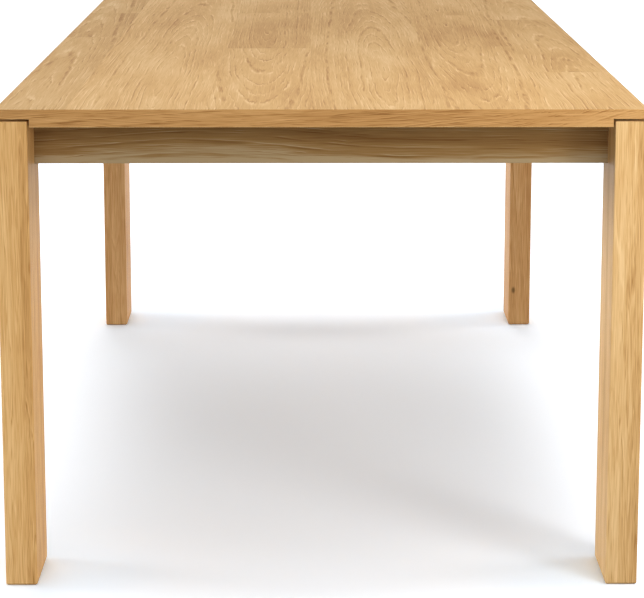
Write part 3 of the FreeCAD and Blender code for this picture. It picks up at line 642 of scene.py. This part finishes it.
def bright_zinc():
    """Zinc on steel: a cool grey metal, faintly clouded, its shine blurred by fine scratches."""
    finish, tree, shader = new_finish("bright_zinc_on_steel")
    place = add(tree, "TexCoord").outputs["Object"]
    cloud = add(tree, "TexNoise", {
        "Vector": place, "Scale": MM_PER_M / CLOUD_MM, "Detail": 2.0,
    }).outputs[0]
    wide, long = SCRATCH_MM
    streaks = add(tree, "Mapping", {
        "Vector": place, "Scale": (MM_PER_M / wide, MM_PER_M / long, MM_PER_M / wide),
    }).outputs[0]
    scratch = add(tree, "TexNoise", {"Vector": streaks, "Scale": 1.0, "Detail": 1.0}).outputs[0]
    paint = add(tree, "ValToRGB", {0: cloud})
    ramp(paint, [(stop, linear(colour)) for stop, colour in ZINC_COLOURS])
    tree.links.new(paint.outputs[0], shader.inputs["Base Color"])
    blur = add(tree, "Math", {
        0: cloud, 1: CLOUD_BLUR, 2: scratch,
    }, operation="MULTIPLY_ADD").outputs[0]
    least, most = ZINC_ROUGHNESS
    rough = add(tree, "MapRange", {
        0: blur, 1: BLUR_LOW, 2: BLUR_HIGH, 3: least, 4: most,
    }).outputs[0]
    tree.links.new(rough, shader.inputs["Roughness"])
    shader.inputs["Metallic"].default_value = 1.0
    return finish


def moulded_nylon():
    """Black nylon from an etched mould: nearly matt, with a fine even grain."""
    finish, tree, shader = new_finish("moulded_black_nylon")
    place = add(tree, "TexCoord").outputs["Object"]
    grain = add(tree, "TexNoise", {
        "Vector": place, "Scale": MM_PER_M / NYLON_GRAIN_MM, "Detail": 2.0,
    }).outputs[0]
    paint = add(tree, "ValToRGB", {0: grain})
    ramp(paint, [(stop, linear(colour)) for stop, colour in NYLON_COLOURS])
    tree.links.new(paint.outputs[0], shader.inputs["Base Color"])
    least, most = NYLON_ROUGHNESS
    rough = add(tree, "MapRange", {0: grain, 3: least, 4: most}).outputs[0]
    tree.links.new(rough, shader.inputs["Roughness"])
    bump = add(tree, "Bump", {
        "Height": grain, "Strength": NYLON_RELIEF_SHARE, "Distance": NYLON_GRAIN_DEEP_M,
    })
    tree.links.new(bump.outputs[0], shader.inputs["Normal"])
    return finish


zinc = bright_zinc()
nylon = moulded_nylon()
CORNERS = ("front_left", "front_right", "rear_left", "rear_right")
wear(zinc, *["corner_plate_" + corner for corner in CORNERS])
wear(zinc, "hanger_washers", "top_brackets", "threaded_inserts")
print("zinc on plates, brackets, washers and inserts")

# %% [markdown]
# ## Turning small fittings
#
# Screws, bolts and feet are round, so they are all made as on a lathe. A filled circle is
# extruded from one ring to the next, and each new ring is scaled to its own radius. A second
# tool cuts one solid with another, for recesses and bores. A third sets out copies of a
# finished model and joins them, so that a screw is modelled once and used forty times.

# %% The lathe
USUAL_SIDES = 24


def turned(name, rings, sides=USUAL_SIDES):
    """Extrudes a filled circle through rings of radius and height in mm, as a lathe turns."""
    bpy.ops.object.select_all(action="DESELECT")
    (wide, level), *others = [(radius / MM_PER_M, height / MM_PER_M) for radius, height in rings]
    bpy.ops.mesh.primitive_circle_add(
        vertices=sides, radius=wide, fill_type="NGON", location=(0, 0, level))
    blank = bpy.context.object
    blank.name = name
    bpy.ops.object.transform_apply(location=True)
    bpy.ops.object.mode_set(mode="EDIT")
    bpy.ops.mesh.select_mode(type="FACE")
    for radius, height in others:
        bpy.ops.mesh.extrude_region_move(TRANSFORM_OT_translate={"value": (0, 0, height - level)})
        bpy.ops.transform.resize(
            value=(radius / wide, radius / wide, 1), center_override=(0, 0, height))
        wide, level = radius, height
    bpy.ops.mesh.select_all(action="SELECT")
    bpy.ops.mesh.normals_make_consistent(inside=False)
    bpy.ops.object.mode_set(mode="OBJECT")
    return blank


print("a turned fitting has", USUAL_SIDES, "sides where nothing else is said")

# %% The cutter
CUT_BLUR_MM = 0.005


def carve(piece, tool, operation="DIFFERENCE"):
    """Cuts one solid with another, takes the tool away and merges points left close by the cut."""
    change = piece.modifiers.new("carve", "BOOLEAN")
    change.operation = operation
    change.object = tool
    bpy.context.view_layer.objects.active = piece
    bpy.ops.object.modifier_apply(modifier=change.name)
    bpy.data.objects.remove(tool)
    bpy.ops.object.mode_set(mode="EDIT")
    bpy.ops.mesh.select_all(action="SELECT")
    bpy.ops.mesh.remove_doubles(threshold=CUT_BLUR_MM / MM_PER_M)
    bpy.ops.object.mode_set(mode="OBJECT")


print("points closer than", CUT_BLUR_MM, "mm are merged after a cut")

# %% Setting out
SMOOTH_BELOW_DEG = 35


def set_out(model, name, sites, body, node, finish):
    """Puts a copy of a model at each site and joins them to one piece that stands for a node."""
    bpy.ops.object.select_all(action="DESELECT")
    for place, facing in sites:
        copy = model.copy()
        copy.data = model.data.copy()
        bpy.context.collection.objects.link(copy)
        copy.location = place
        copy.rotation_euler = facing.to_track_quat("Z", "Y").to_euler()
        copy.select_set(True)
        bpy.context.view_layer.objects.active = copy
    bpy.ops.object.transform_apply(location=True, rotation=True, scale=True)
    if len(sites) > 1:
        bpy.ops.object.join()
    bpy.ops.object.shade_smooth_by_angle(angle=math.radians(SMOOTH_BELOW_DEG))
    piece = bpy.context.object
    piece.name = name
    piece.data.materials.append(finish)
    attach(piece, body)
    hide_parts(node)
    print(name, "copies:", len(sites), "faces:", len(piece.data.polygons))


print("edges below", SMOOTH_BELOW_DEG, "degrees are shaded smooth")

# %% [markdown]
# ## Pan-head screws
#
# The plates and brackets are held by pan-head screws with a cross recess, and longer ones go up
# through the bearers into the top. The head is turned with a rounded rim. The recess is a cross
# made from a small block with an arm extruded from each side, and it is cut into the head.

# %% Model the screws
SHORT_SCREW_MM = 16
LONG_SCREW_MM = 40
SCREW_RADIUS_MM = 2
SCREW_POINT_MM = 0.3
SCREW_TIP_MM = 4
SCREW_SIDES = 20
HEAD_RADIUS_MM = 4
HEAD_HIGH_MM = 2.6
HEAD_ROUND_MM = 1.4
HEAD_ROUND_STEPS = 4
CROSS_WIDE_MM = 1.1
CROSS_DEEP_MM = 1.5
CROSS_ARM_SHARE = 1.4
CROSS_TAPER = 0.8
FACING = 0.9
FOUR_WAYS = (Vector((1, 0, 0)), Vector((-1, 0, 0)), Vector((0, 1, 0)), Vector((0, -1, 0)))


def cross_recess():
    """A small cross with four arms, standing in the top of a screw's head."""
    wide = CROSS_WIDE_MM / MM_PER_M
    bpy.ops.object.select_all(action="DESELECT")
    bpy.ops.mesh.primitive_cube_add(size=1, location=(0, 0, HEAD_HIGH_MM / MM_PER_M))
    cross = bpy.context.object
    cross.scale = (wide, wide, 2 * CROSS_DEEP_MM / MM_PER_M)
    bpy.ops.object.transform_apply(location=True, scale=True)
    for way in FOUR_WAYS:
        bpy.ops.object.mode_set(mode="EDIT")
        bpy.ops.mesh.select_mode(type="FACE")
        bpy.ops.mesh.select_all(action="DESELECT")
        bpy.ops.object.mode_set(mode="OBJECT")
        for face in cross.data.polygons:
            off_axis = (face.center - face.center.dot(way) * way).xy.length
            face.select = face.normal.dot(way) > FACING and off_axis < wide / 4
        bpy.ops.object.mode_set(mode="EDIT")
        arm = way * wide * CROSS_ARM_SHARE
        bpy.ops.mesh.extrude_region_move(TRANSFORM_OT_translate={"value": arm})
        bpy.ops.transform.resize(value=(CROSS_TAPER, CROSS_TAPER, 1))
        bpy.ops.object.mode_set(mode="OBJECT")
    return cross


def pan_head_screw(name, length):
    """A pointed shank under a round head with a cross recess; the head sits on the origin."""
    rings = [
        (SCREW_POINT_MM, -length),
        (SCREW_RADIUS_MM, SCREW_TIP_MM - length),
        (SCREW_RADIUS_MM, 0),
        (HEAD_RADIUS_MM, 0),
    ]
    flat = HEAD_RADIUS_MM - HEAD_ROUND_MM
    wall = HEAD_HIGH_MM - HEAD_ROUND_MM
    for step in range(HEAD_ROUND_STEPS + 1):
        turn = math.radians(90 * step / HEAD_ROUND_STEPS)
        rings.append((flat + HEAD_ROUND_MM * math.cos(turn), wall + HEAD_ROUND_MM * math.sin(turn)))
    screw = turned(name, rings, SCREW_SIDES)
    carve(screw, cross_recess())
    return screw


short_screw = pan_head_screw("short_screw", SHORT_SCREW_MM)
long_screw = pan_head_screw("long_screw", LONG_SCREW_MM)
print("screw faces:", len(short_screw.data.polygons))

# %% [markdown]
# ## Where the screws go
#
# The places are worked out from the pieces that carry them: the inner faces of the aprons, the
# ends of the corner plates, the bearers and the underside of the top. Only the front left corner
# is written down. The other three are its mirror images.

# %% Measure what carries the screws
side_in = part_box("side_apron_left")[1].x
end_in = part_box("end_apron_front")[1].y
apron_low, apron_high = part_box("end_apron_front")
apron_middle = (apron_low.z + apron_high.z) / 2
under_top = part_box("underside_veneer")[0].z
plate_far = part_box("corner_plate_front_left")[1]
bearer_low, bearer_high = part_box("cross_bearer_front")
bearer_y = (bearer_low.y + bearer_high.y) / 2
print("aprons' inner faces, in m:", round(side_in, 4), round(end_in, 4))

# %% Screws in the corner plates
PLATE_REACH_MM = 70
PLATE_THICK_MM = 2.5
PLATE_SCREWS_APART_MM = 24
RIGHT, BACK, DOWN = Vector((1, 0, 0)), Vector((0, 1, 0)), Vector((0, 0, -1))
plate = PLATE_THICK_MM / MM_PER_M
half_apart = PLATE_SCREWS_APART_MM / 2 / MM_PER_M
plate_sites = []
flange_x = (side_in + PLATE_REACH_MM / MM_PER_M + plate_far.x - plate) / 2
flange_y = (end_in + PLATE_REACH_MM / MM_PER_M + plate_far.y - plate) / 2
for level in (apron_middle - half_apart, apron_middle + half_apart):
    plate_sites.append((Vector((flange_x, end_in + plate, level)), BACK))
    plate_sites.append((Vector((side_in + plate, flange_y, level)), RIGHT))
print("screws in one corner plate:", len(plate_sites))

# %% Screws in the brackets and bearers
BRACKET_THICK_MM = 2
BRACKET_HOLE_MM = 19
BEARER_RECESS_MM = 20
BEARER_SCREW_SHARES = (0.15, 0.38)
thick = BRACKET_THICK_MM / MM_PER_M
hole = BRACKET_HOLE_MM / MM_PER_M
bracket_sites = [
    (Vector((plate_far.x / 2, end_in + thick, under_top - hole)), BACK),
    (Vector((plate_far.x / 2, end_in + hole, under_top - thick)), DOWN),
]
for along in (bearer_y / 2, (plate_far.y + bearer_y) / 2):
    bracket_sites.append((Vector((side_in + thick, along, under_top - hole)), RIGHT))
    bracket_sites.append((Vector((side_in + hole, along, under_top - thick)), DOWN))

recess = bearer_low.z + BEARER_RECESS_MM / MM_PER_M
bearer_sites = [
    (Vector((2 * side_in * share, bearer_y, recess)), DOWN) for share in BEARER_SCREW_SHARES
]
print("in a quarter of the brackets:", len(bracket_sites), "and bearers:", len(bearer_sites))

# %% Set out the screws
MIRRORS = [Vector((across, along, 1)) for across in (1, -1) for along in (1, -1)]


def four_corners(sites):
    """Repeats the front left corner's sites at all four corners."""
    return [(place * flip, facing * flip) for flip in MIRRORS for place, facing in sites]


for model, name, sites, node in (
    (short_screw, "plate_pan_screws", plate_sites, "corner_plate_screws"),
    (short_screw, "bracket_pan_screws", bracket_sites, "bracket_screws"),
    (long_screw, "bearer_pan_screws", bearer_sites, "bearer_screws"),
):
    set_out(model, name, four_corners(sites), "table", node, zinc)
bpy.data.objects.remove(short_screw)
bpy.data.objects.remove(long_screw)

# %% [markdown]
# ## Threads
#
# A thread is a V that climbs as it goes round, which is just what the Screw modifier makes of two
# short edges. Here it starts as a three-cornered ring that loses one edge. After winding, both
# ends are cut square, and the upper one is narrowed so that a nut can start on it.

# %% Model a threaded rod
THREAD_PITCH_MM = 1.25
THREAD_CREST_MM = 4.0
THREAD_ROOT_MM = 3.25
THREAD_SIDES = 16
# the V as radius and turns of the thread; it starts two turns low, so that the cut leaves no gap
THREAD_V = ((THREAD_ROOT_MM, -2.0), (THREAD_CREST_MM, -1.5), (THREAD_ROOT_MM, -1.0))
SPARE_TURNS = 4
LEAD_IN_MM = 1.2
LEAD_IN_SHARE = 0.84


def threaded_rod(name, length):
    """Winds a V round the upright axis, cuts both ends square and narrows the upper one."""
    pitch = THREAD_PITCH_MM / MM_PER_M
    top = length / MM_PER_M
    bpy.ops.object.select_all(action="DESELECT")
    bpy.ops.mesh.primitive_circle_add(vertices=3)
    rod = bpy.context.object
    rod.name = name
    for vertex, (radius, turns) in zip(rod.data.vertices, THREAD_V):
        vertex.co = (radius / MM_PER_M, 0, turns * pitch)
    bpy.ops.object.mode_set(mode="EDIT")
    bpy.ops.mesh.select_mode(type="EDGE")
    bpy.ops.mesh.select_all(action="DESELECT")
    bpy.ops.object.mode_set(mode="OBJECT")
    for edge in rod.data.edges:
        start, end = (rod.data.vertices[index].co for index in edge.vertices)
        edge.select = abs(start.x - end.x) < pitch / 100
    bpy.ops.object.mode_set(mode="EDIT")
    bpy.ops.mesh.delete(type="EDGE_FACE")
    bpy.ops.object.mode_set(mode="OBJECT")

    wind = rod.modifiers.new("wind", "SCREW")
    wind.axis = "Z"
    wind.screw_offset = pitch
    wind.iterations = math.ceil(length / THREAD_PITCH_MM) + SPARE_TURNS
    wind.steps = wind.render_steps = THREAD_SIDES
    bpy.ops.object.modifier_apply(modifier=wind.name)
    bpy.ops.object.mode_set(mode="EDIT")
    bpy.ops.mesh.select_all(action="SELECT")
    bpy.ops.mesh.remove_doubles(threshold=pitch / 1000)
    for level, way in ((0, -1), (top, 1)):
        bpy.ops.mesh.select_all(action="SELECT")
        bpy.ops.mesh.bisect(
            plane_co=(0, 0, level), plane_no=(0, 0, way), use_fill=True, clear_outer=True)
    bpy.ops.mesh.select_mode(type="VERT")
    bpy.ops.mesh.select_all(action="DESELECT")
    bpy.ops.object.mode_set(mode="OBJECT")
    for vertex in rod.data.vertices:
        vertex.select = vertex.co.z > top - LEAD_IN_MM / MM_PER_M
    bpy.ops.object.mode_set(mode="EDIT")
    bpy.ops.transform.resize(value=(LEAD_IN_SHARE, LEAD_IN_SHARE, 1), center_override=(0, 0, top))
    bpy.ops.mesh.select_all(action="SELECT")
    bpy.ops.mesh.normals_make_consistent(inside=False)
    bpy.ops.object.mode_set(mode="OBJECT")
    return rod


print("thread", THREAD_CREST_MM * 2, "mm across, pitch", THREAD_PITCH_MM, "mm")

# %% [markdown]
# ## Bolts and nuts that hold the legs
#
# A hanger bolt has a pointed end screwed into the leg and a machine thread that sticks out of
# it, through the corner plate. A washer and a nut draw the leg tight. The nut is a six-sided
# block whose corners were turned off at both ends, so the block is cut down to what it shares
# with a turned blank, and is then bored.

# %% Model the bolt
BOLT_DEEP_MM = 45
BOLT_POINT_MM = 0.5
BOLT_TIP_MM = 6
BOLT_SHOULDER_MM = 0.5
BOLT_NECK_MM = THREAD_ROOT_MM - 0.1
BOLT_OVERLAP_MM = 1
BOLT_SEAT_MM = 7
BOLT_END_MM = 5
WASHER_THICK_MM = 1.6
NUT_HIGH_MM = 6.5

leg_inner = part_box("leg_front_left")[1]
seat = Vector((leg_inner.x, leg_inner.y, apron_middle))
seat -= Vector((BOLT_SEAT_MM, BOLT_SEAT_MM, 0)) / MM_PER_M
out_of_leg = Vector((1, 1, 0)).normalized()
plate_middle = (PLATE_REACH_MM / MM_PER_M + side_in + end_in - seat.x - seat.y) / math.sqrt(2)
nut_from_seat = plate_middle * MM_PER_M + PLATE_THICK_MM + WASHER_THICK_MM
bolt_out = nut_from_seat + NUT_HIGH_MM + BOLT_END_MM

bolt = threaded_rod("bolt", bolt_out)
turned("bolt_point", (
    (BOLT_POINT_MM, -BOLT_DEEP_MM),
    (THREAD_CREST_MM, BOLT_TIP_MM - BOLT_DEEP_MM),
    (THREAD_CREST_MM, -BOLT_SHOULDER_MM),
    (BOLT_NECK_MM, 0),
    (BOLT_NECK_MM, BOLT_OVERLAP_MM),
))
bolt.select_set(True)
bpy.context.view_layer.objects.active = bolt
bpy.ops.object.join()
print("bolt stands out of the leg by", round(bolt_out, 2), "mm")

# %% Model the nut
NUT_WIDE_MM = 13
NUT_FLATS = 6
NUT_BORE_MM = 4.1
NUT_CHAMFER_MM = 0.9
NUT_SPARE_MM = 0.4
NUT_FLARE_MM = 1.0
NUT_FLARE_DEEP_MM = 0.5
CHAMFER_SIDES = 48
BORE_SIDES = 32

corner = NUT_WIDE_MM / 2 / math.cos(math.pi / NUT_FLATS)
bpy.ops.object.select_all(action="DESELECT")
bpy.ops.mesh.primitive_cylinder_add(
    vertices=NUT_FLATS, radius=corner / MM_PER_M, depth=2 * NUT_HIGH_MM / MM_PER_M,
    location=(0, 0, NUT_HIGH_MM / 2 / MM_PER_M))
nut = bpy.context.object
bpy.ops.object.transform_apply(location=True)
carve(nut, turned("nut_blank", (
    (corner - NUT_CHAMFER_MM - NUT_SPARE_MM, 0),
    (corner + NUT_SPARE_MM, NUT_CHAMFER_MM),
    (corner + NUT_SPARE_MM, NUT_HIGH_MM - NUT_CHAMFER_MM),
    (corner - NUT_CHAMFER_MM - NUT_SPARE_MM, NUT_HIGH_MM),
), CHAMFER_SIDES), "INTERSECT")
carve(nut, turned("nut_bore", (
    (NUT_BORE_MM + NUT_FLARE_MM, -NUT_FLARE_DEEP_MM),
    (NUT_BORE_MM, NUT_FLARE_DEEP_MM),
    (NUT_BORE_MM, NUT_HIGH_MM - NUT_FLARE_DEEP_MM),
    (NUT_BORE_MM + NUT_FLARE_MM, NUT_HIGH_MM + NUT_FLARE_DEEP_MM),
), BORE_SIDES))
print("nut sits", round(nut_from_seat, 2), "mm from the leg; faces:", len(nut.data.polygons))

# %% Set out the bolts and nuts
set_out(bolt, "threaded_hanger_bolts", four_corners([(seat, out_of_leg)]), "table",
        "hanger_bolts", zinc)
nut_place = seat + out_of_leg * nut_from_seat / MM_PER_M
set_out(nut, "chamfered_hex_nuts", four_corners([(nut_place, out_of_leg)]), "table",
        "hanger_nuts", zinc)
bpy.data.objects.remove(bolt)
bpy.data.objects.remove(nut)

# %% [markdown]
# ## Levelling feet
#
# Each leg stands on a foot that screws in and out, to level the table on an uneven floor. The
# stem is another length of thread. The nylon disc has flutes round its rim for the fingers: one
# flute cutter is turned, eleven copies of it are turned about the disc's middle, and all twelve
# are cut away at once. Each foot moves with its own body.

# %% Turn the foot
FOOT_RADIUS_MM = 15
FOOT_HIGH_MM = 7
FOOT_SIDES = 72
FOOT_ROUND_MM = 1.5
ROUND_MIDDLE_MM = 0.44
FOOT_BEVEL_MM = 0.8
GROOVE_OUTER_MM = 11.0
GROOVE_INNER_MM = 7.0
GROOVE_SLOPE_MM = 0.4
GROOVE_DEEP_MM = 0.6
BOSS_INNER_MM = 5.0
SOCKET_DEEP_MM = 4
SOCKET_RADIUS_MM = 4.08
CUT_PAST_MM = 1

rim = FOOT_RADIUS_MM
foot = turned("foot", (
    # the rounded lower edge
    (rim - FOOT_ROUND_MM, 0),
    (rim - ROUND_MIDDLE_MM, ROUND_MIDDLE_MM),
    (rim, FOOT_ROUND_MM),
    # the upper edge
    (rim, FOOT_HIGH_MM - FOOT_BEVEL_MM),
    (rim - FOOT_BEVEL_MM, FOOT_HIGH_MM),
    # a shallow groove
    (GROOVE_OUTER_MM, FOOT_HIGH_MM),
    (GROOVE_OUTER_MM - GROOVE_SLOPE_MM, FOOT_HIGH_MM - GROOVE_DEEP_MM),
    (GROOVE_INNER_MM + GROOVE_SLOPE_MM, FOOT_HIGH_MM - GROOVE_DEEP_MM),
    # the boss round the stem
    (GROOVE_INNER_MM, FOOT_HIGH_MM),
    (BOSS_INNER_MM, FOOT_HIGH_MM),
), FOOT_SIDES)
carve(foot, turned("socket", (
    (SOCKET_RADIUS_MM, FOOT_HIGH_MM - SOCKET_DEEP_MM),
    (SOCKET_RADIUS_MM, FOOT_HIGH_MM + CUT_PAST_MM),
), BORE_SIDES))
print("foot turned, faces:", len(foot.data.polygons))

# %% Cut the flutes
FLUTES = 12
FLUTE_RADIUS_MM = 2.4
FLUTE_SIDES = 16
FLUTE_BITE_MM = 0.9
FLUTE_START_MM = 0.3

flute = turned("flute", (
    (FLUTE_RADIUS_MM, FOOT_ROUND_MM + FLUTE_START_MM),
    (FLUTE_RADIUS_MM, FOOT_HIGH_MM + CUT_PAST_MM),
), FLUTE_SIDES)
flute.location.x = (rim + FLUTE_RADIUS_MM - FLUTE_BITE_MM) / MM_PER_M
bpy.ops.object.transform_apply(location=True)
bpy.ops.object.select_all(action="DESELECT")
for turn in range(1, FLUTES):
    copy = flute.copy()
    copy.data = flute.data.copy()
    bpy.context.collection.objects.link(copy)
    copy.rotation_euler.z = math.radians(360 * turn / FLUTES)
    copy.select_set(True)
flute.select_set(True)
bpy.context.view_layer.objects.active = flute
bpy.ops.object.transform_apply(rotation=True)
bpy.ops.object.join()
carve(foot, flute)
print("foot faces:", len(foot.data.polygons))

# %% Set out the feet
UP = Vector((0, 0, 1))
low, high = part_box("glide_stem_front_left")
stem = threaded_rod("stem", (high.z - low.z) * MM_PER_M)
for corner_name in CORNERS:
    body = "glide_" + corner_name
    for model, piece_name, node, slot, finish in (
        (stem, "threaded_stem_", "glide_stem_", "zinc_steel", zinc),
        (foot, "fluted_foot_", "glide_base_", "nylon", nylon),
    ):
        low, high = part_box(node + corner_name)
        place = Vector(((low.x + high.x) / 2, (low.y + high.y) / 2, low.z))
        set_out(model, piece_name + corner_name, [(place, UP)], body, node + corner_name,
                finish)
bpy.data.objects.remove(stem)
bpy.data.objects.remove(foot)

# %% [markdown]
# ## The floor
#
# The table stands on white studio paper. A photographer prints the paper pure white and keeps
# only the soft shadow, so the floor is brighter to the eye than a real sheet. The light it throws
# back up under the table is a real sheet's, so the colour that it bounces is set apart. Beside
# the feet the oak throws a warm glow on the paper. The print has none, so the paper is cooler
# there. The table is the same left and right, front and back, so one place beside a foot, with
# the floor folded in four, serves all four feet.

# %% Lay the floor
FLOOR_M = 120
FLOOR_BELOW_M = 0.0003
PAPER_COLOUR = "#f4f9ff"
COOLER_PAPER_COLOUR = "#e5f2ff"
BOUNCED_COLOUR = "#a8a8a8"
PRINTED_WHITE = 1.37
BESIDE_FOOT_M = (0.42, 0.95, 0)
GLOW_REACH_M = 0.24
PAPER_ROUGHNESS = 0.9
bpy.ops.object.select_all(action="DESELECT")
bpy.ops.mesh.primitive_plane_add(size=FLOOR_M, location=(0, 0, cad_low.z - FLOOR_BELOW_M))
floor = bpy.context.object
floor.name = "studio_floor"
paper, tree, shader = new_finish("white_studio_paper")
place = add(tree, "TexCoord").outputs["Object"]
folded = add(tree, "VectorMath", {0: place}, operation="ABSOLUTE").outputs[0]
from_foot = add(tree, "VectorMath", {
    0: folded, 1: BESIDE_FOOT_M,
}, operation="DISTANCE").outputs["Value"]
warmed = add(tree, "MapRange", {
    0: from_foot, 1: 0.0, 2: GLOW_REACH_M, 3: 1.0, 4: 0.0,
}, interpolation_type="SMOOTHSTEP").outputs[0]
printed = add(tree, "Mix", {
    0: warmed,
    6: linear(PAPER_COLOUR, PRINTED_WHITE),
    7: linear(COOLER_PAPER_COLOUR, PRINTED_WHITE),
}, data_type="RGBA").outputs[2]
bounce = add(tree, "LightPath").outputs["Is Diffuse Ray"]
shade = add(tree, "Mix", {0: bounce, 6: printed, 7: linear(BOUNCED_COLOUR)}, data_type="RGBA")
tree.links.new(shade.outputs[2], shader.inputs["Base Color"])
shader.inputs["Roughness"].default_value = PAPER_ROUGHNESS
shader.inputs["Specular IOR Level"].default_value = 0.0
floor.data.materials.append(paper)
floor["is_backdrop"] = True
print("floor laid at", round(cad_low.z - FLOOR_BELOW_M, 4), "m")

# %% [markdown]
# ## Light
#
# The table was lit in a white tent: large soft lights all round, and none that gives a hard
# shadow. The world's background plays the tent. Each softbox is a spot of light in one
# direction: the cosine of the angle to it, raised to a power that gathers it. Two side lights
# brighten the legs' inner faces, the front ones model the apron, and the back ones throw the
# shadow towards the camera, which itself sees plain white. One lamp hangs over the near end of
# the top and lifts it, and a small one lights the right-hand corner.

# %% Paint the light tent
SOFTBOXES = {
    # name: (direction towards it, how tightly it is gathered, strength)
    "overhead": ((0.02, 0.0, 1.0), 24, 4.1),
    "front_low": ((0.05, -1.0, 0.14), 10, 4.7),
    "front_high": ((0.03, -0.84, 0.56), 60, 1.6),
    "back_high": ((-0.1, 0.80, 0.70), 40, 4.6),
    "back_steep": ((-0.05, 0.42, 0.91), 30, 1.9),
    "left_side": ((-1.0, 0.25, 0.03), 90, 62.0),
    "right_side": ((1.0, 0.25, 0.03), 90, 45.0),
    "right_high": ((0.88, 0.10, 0.47), 30, 1.7),
}
AROUND = 0.14
SEEN_WHITE = 1.2
world = bpy.data.worlds.new("light_tent")
world.use_nodes = True
bpy.context.scene.world = world
tent = world.node_tree
sky = tent.nodes["Background"]
direction = add(tent, "TexCoord").outputs["Generated"]
glow = AROUND
for name, (towards, gathered, strength) in SOFTBOXES.items():
    aim = Vector(towards).normalized()
    facing = add(tent, "VectorMath", {
        0: direction, 1: aim,
    }, operation="DOT_PRODUCT").outputs["Value"]
    front = add(tent, "Math", {0: facing, 1: 0.0}, operation="MAXIMUM").outputs[0]
    lobe = add(tent, "Math", {0: front, 1: gathered}, operation="POWER").outputs[0]
    glow = add(tent, "Math", {
        0: lobe, 1: strength, 2: glow,
    }, operation="MULTIPLY_ADD", label=name).outputs[0]
seen = add(tent, "LightPath").outputs["Is Camera Ray"]
strength = add(tent, "MapRange", {0: seen, 3: glow, 4: SEEN_WHITE}).outputs[0]
tent.links.new(strength, sky.inputs["Strength"])
sky.inputs["Color"].default_value = (1, 1, 1, 1)
bpy.context.scene.view_settings.view_transform = "Standard"
print("softboxes:", ", ".join(SOFTBOXES))

# %% Light near the front end
LAMPS = {
    # name: (place, what it points at, width, power)
    "lamp_over_near_end": (Vector((0.45, -0.90, 1.85)), Vector((0.35, -0.95, 0.75)), 0.6, 5.0),
    "lamp_at_right_corner": (Vector((1.0, -1.65, 0.9)), Vector((0.48, -1.0, 0.72)), 0.35, 4.2),
}
for name, (place, target, wide, power) in LAMPS.items():
    aim = (target - place).to_track_quat("-Z", "Y").to_euler()
    bpy.ops.object.light_add(type="AREA", location=place, rotation=aim)
    lamp = bpy.context.object
    lamp.name = name
    lamp.data.shape = "DISK"
    lamp.data.size = wide
    lamp.data.energy = power
    lamp.visible_camera = False
    lamp.visible_glossy = False
print("lamps:", ", ".join(LAMPS))

# %% [markdown]
# ## Camera
#
# The picture was taken from the end of the table, a little above it, with a long lens. The place,
# tilt and lens were worked out from the corners of the top and the feet. The photographer shifted
# the lens far down to keep upright lines upright. Other views keep the shift, so it is small here.

# %% Place the camera
CAMERA_PLACE_MM = (-17, -4565, 1233)
CAMERA_DOWN_DEG = 10.61
CAMERA_TO_RIGHT_DEG = 0.285
SENSOR_MM = 36
LENS_MM = 131.5
SHIFT_Y = -0.1
tilt = (math.radians(90 - CAMERA_DOWN_DEG), 0, -math.radians(CAMERA_TO_RIGHT_DEG))
bpy.ops.object.camera_add(location=Vector(CAMERA_PLACE_MM) / MM_PER_M, rotation=tilt)
camera = bpy.context.object
camera.data.sensor_width = SENSOR_MM
camera.data.lens = LENS_MM
camera.data.shift_y = SHIFT_Y
bpy.context.scene.camera = camera
print("camera set, lens", LENS_MM, "mm")

# %% Measure the visual size and finish
low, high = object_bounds()
print("visual size in mm:", [round(side * MM_PER_M, 1) for side in high - low])
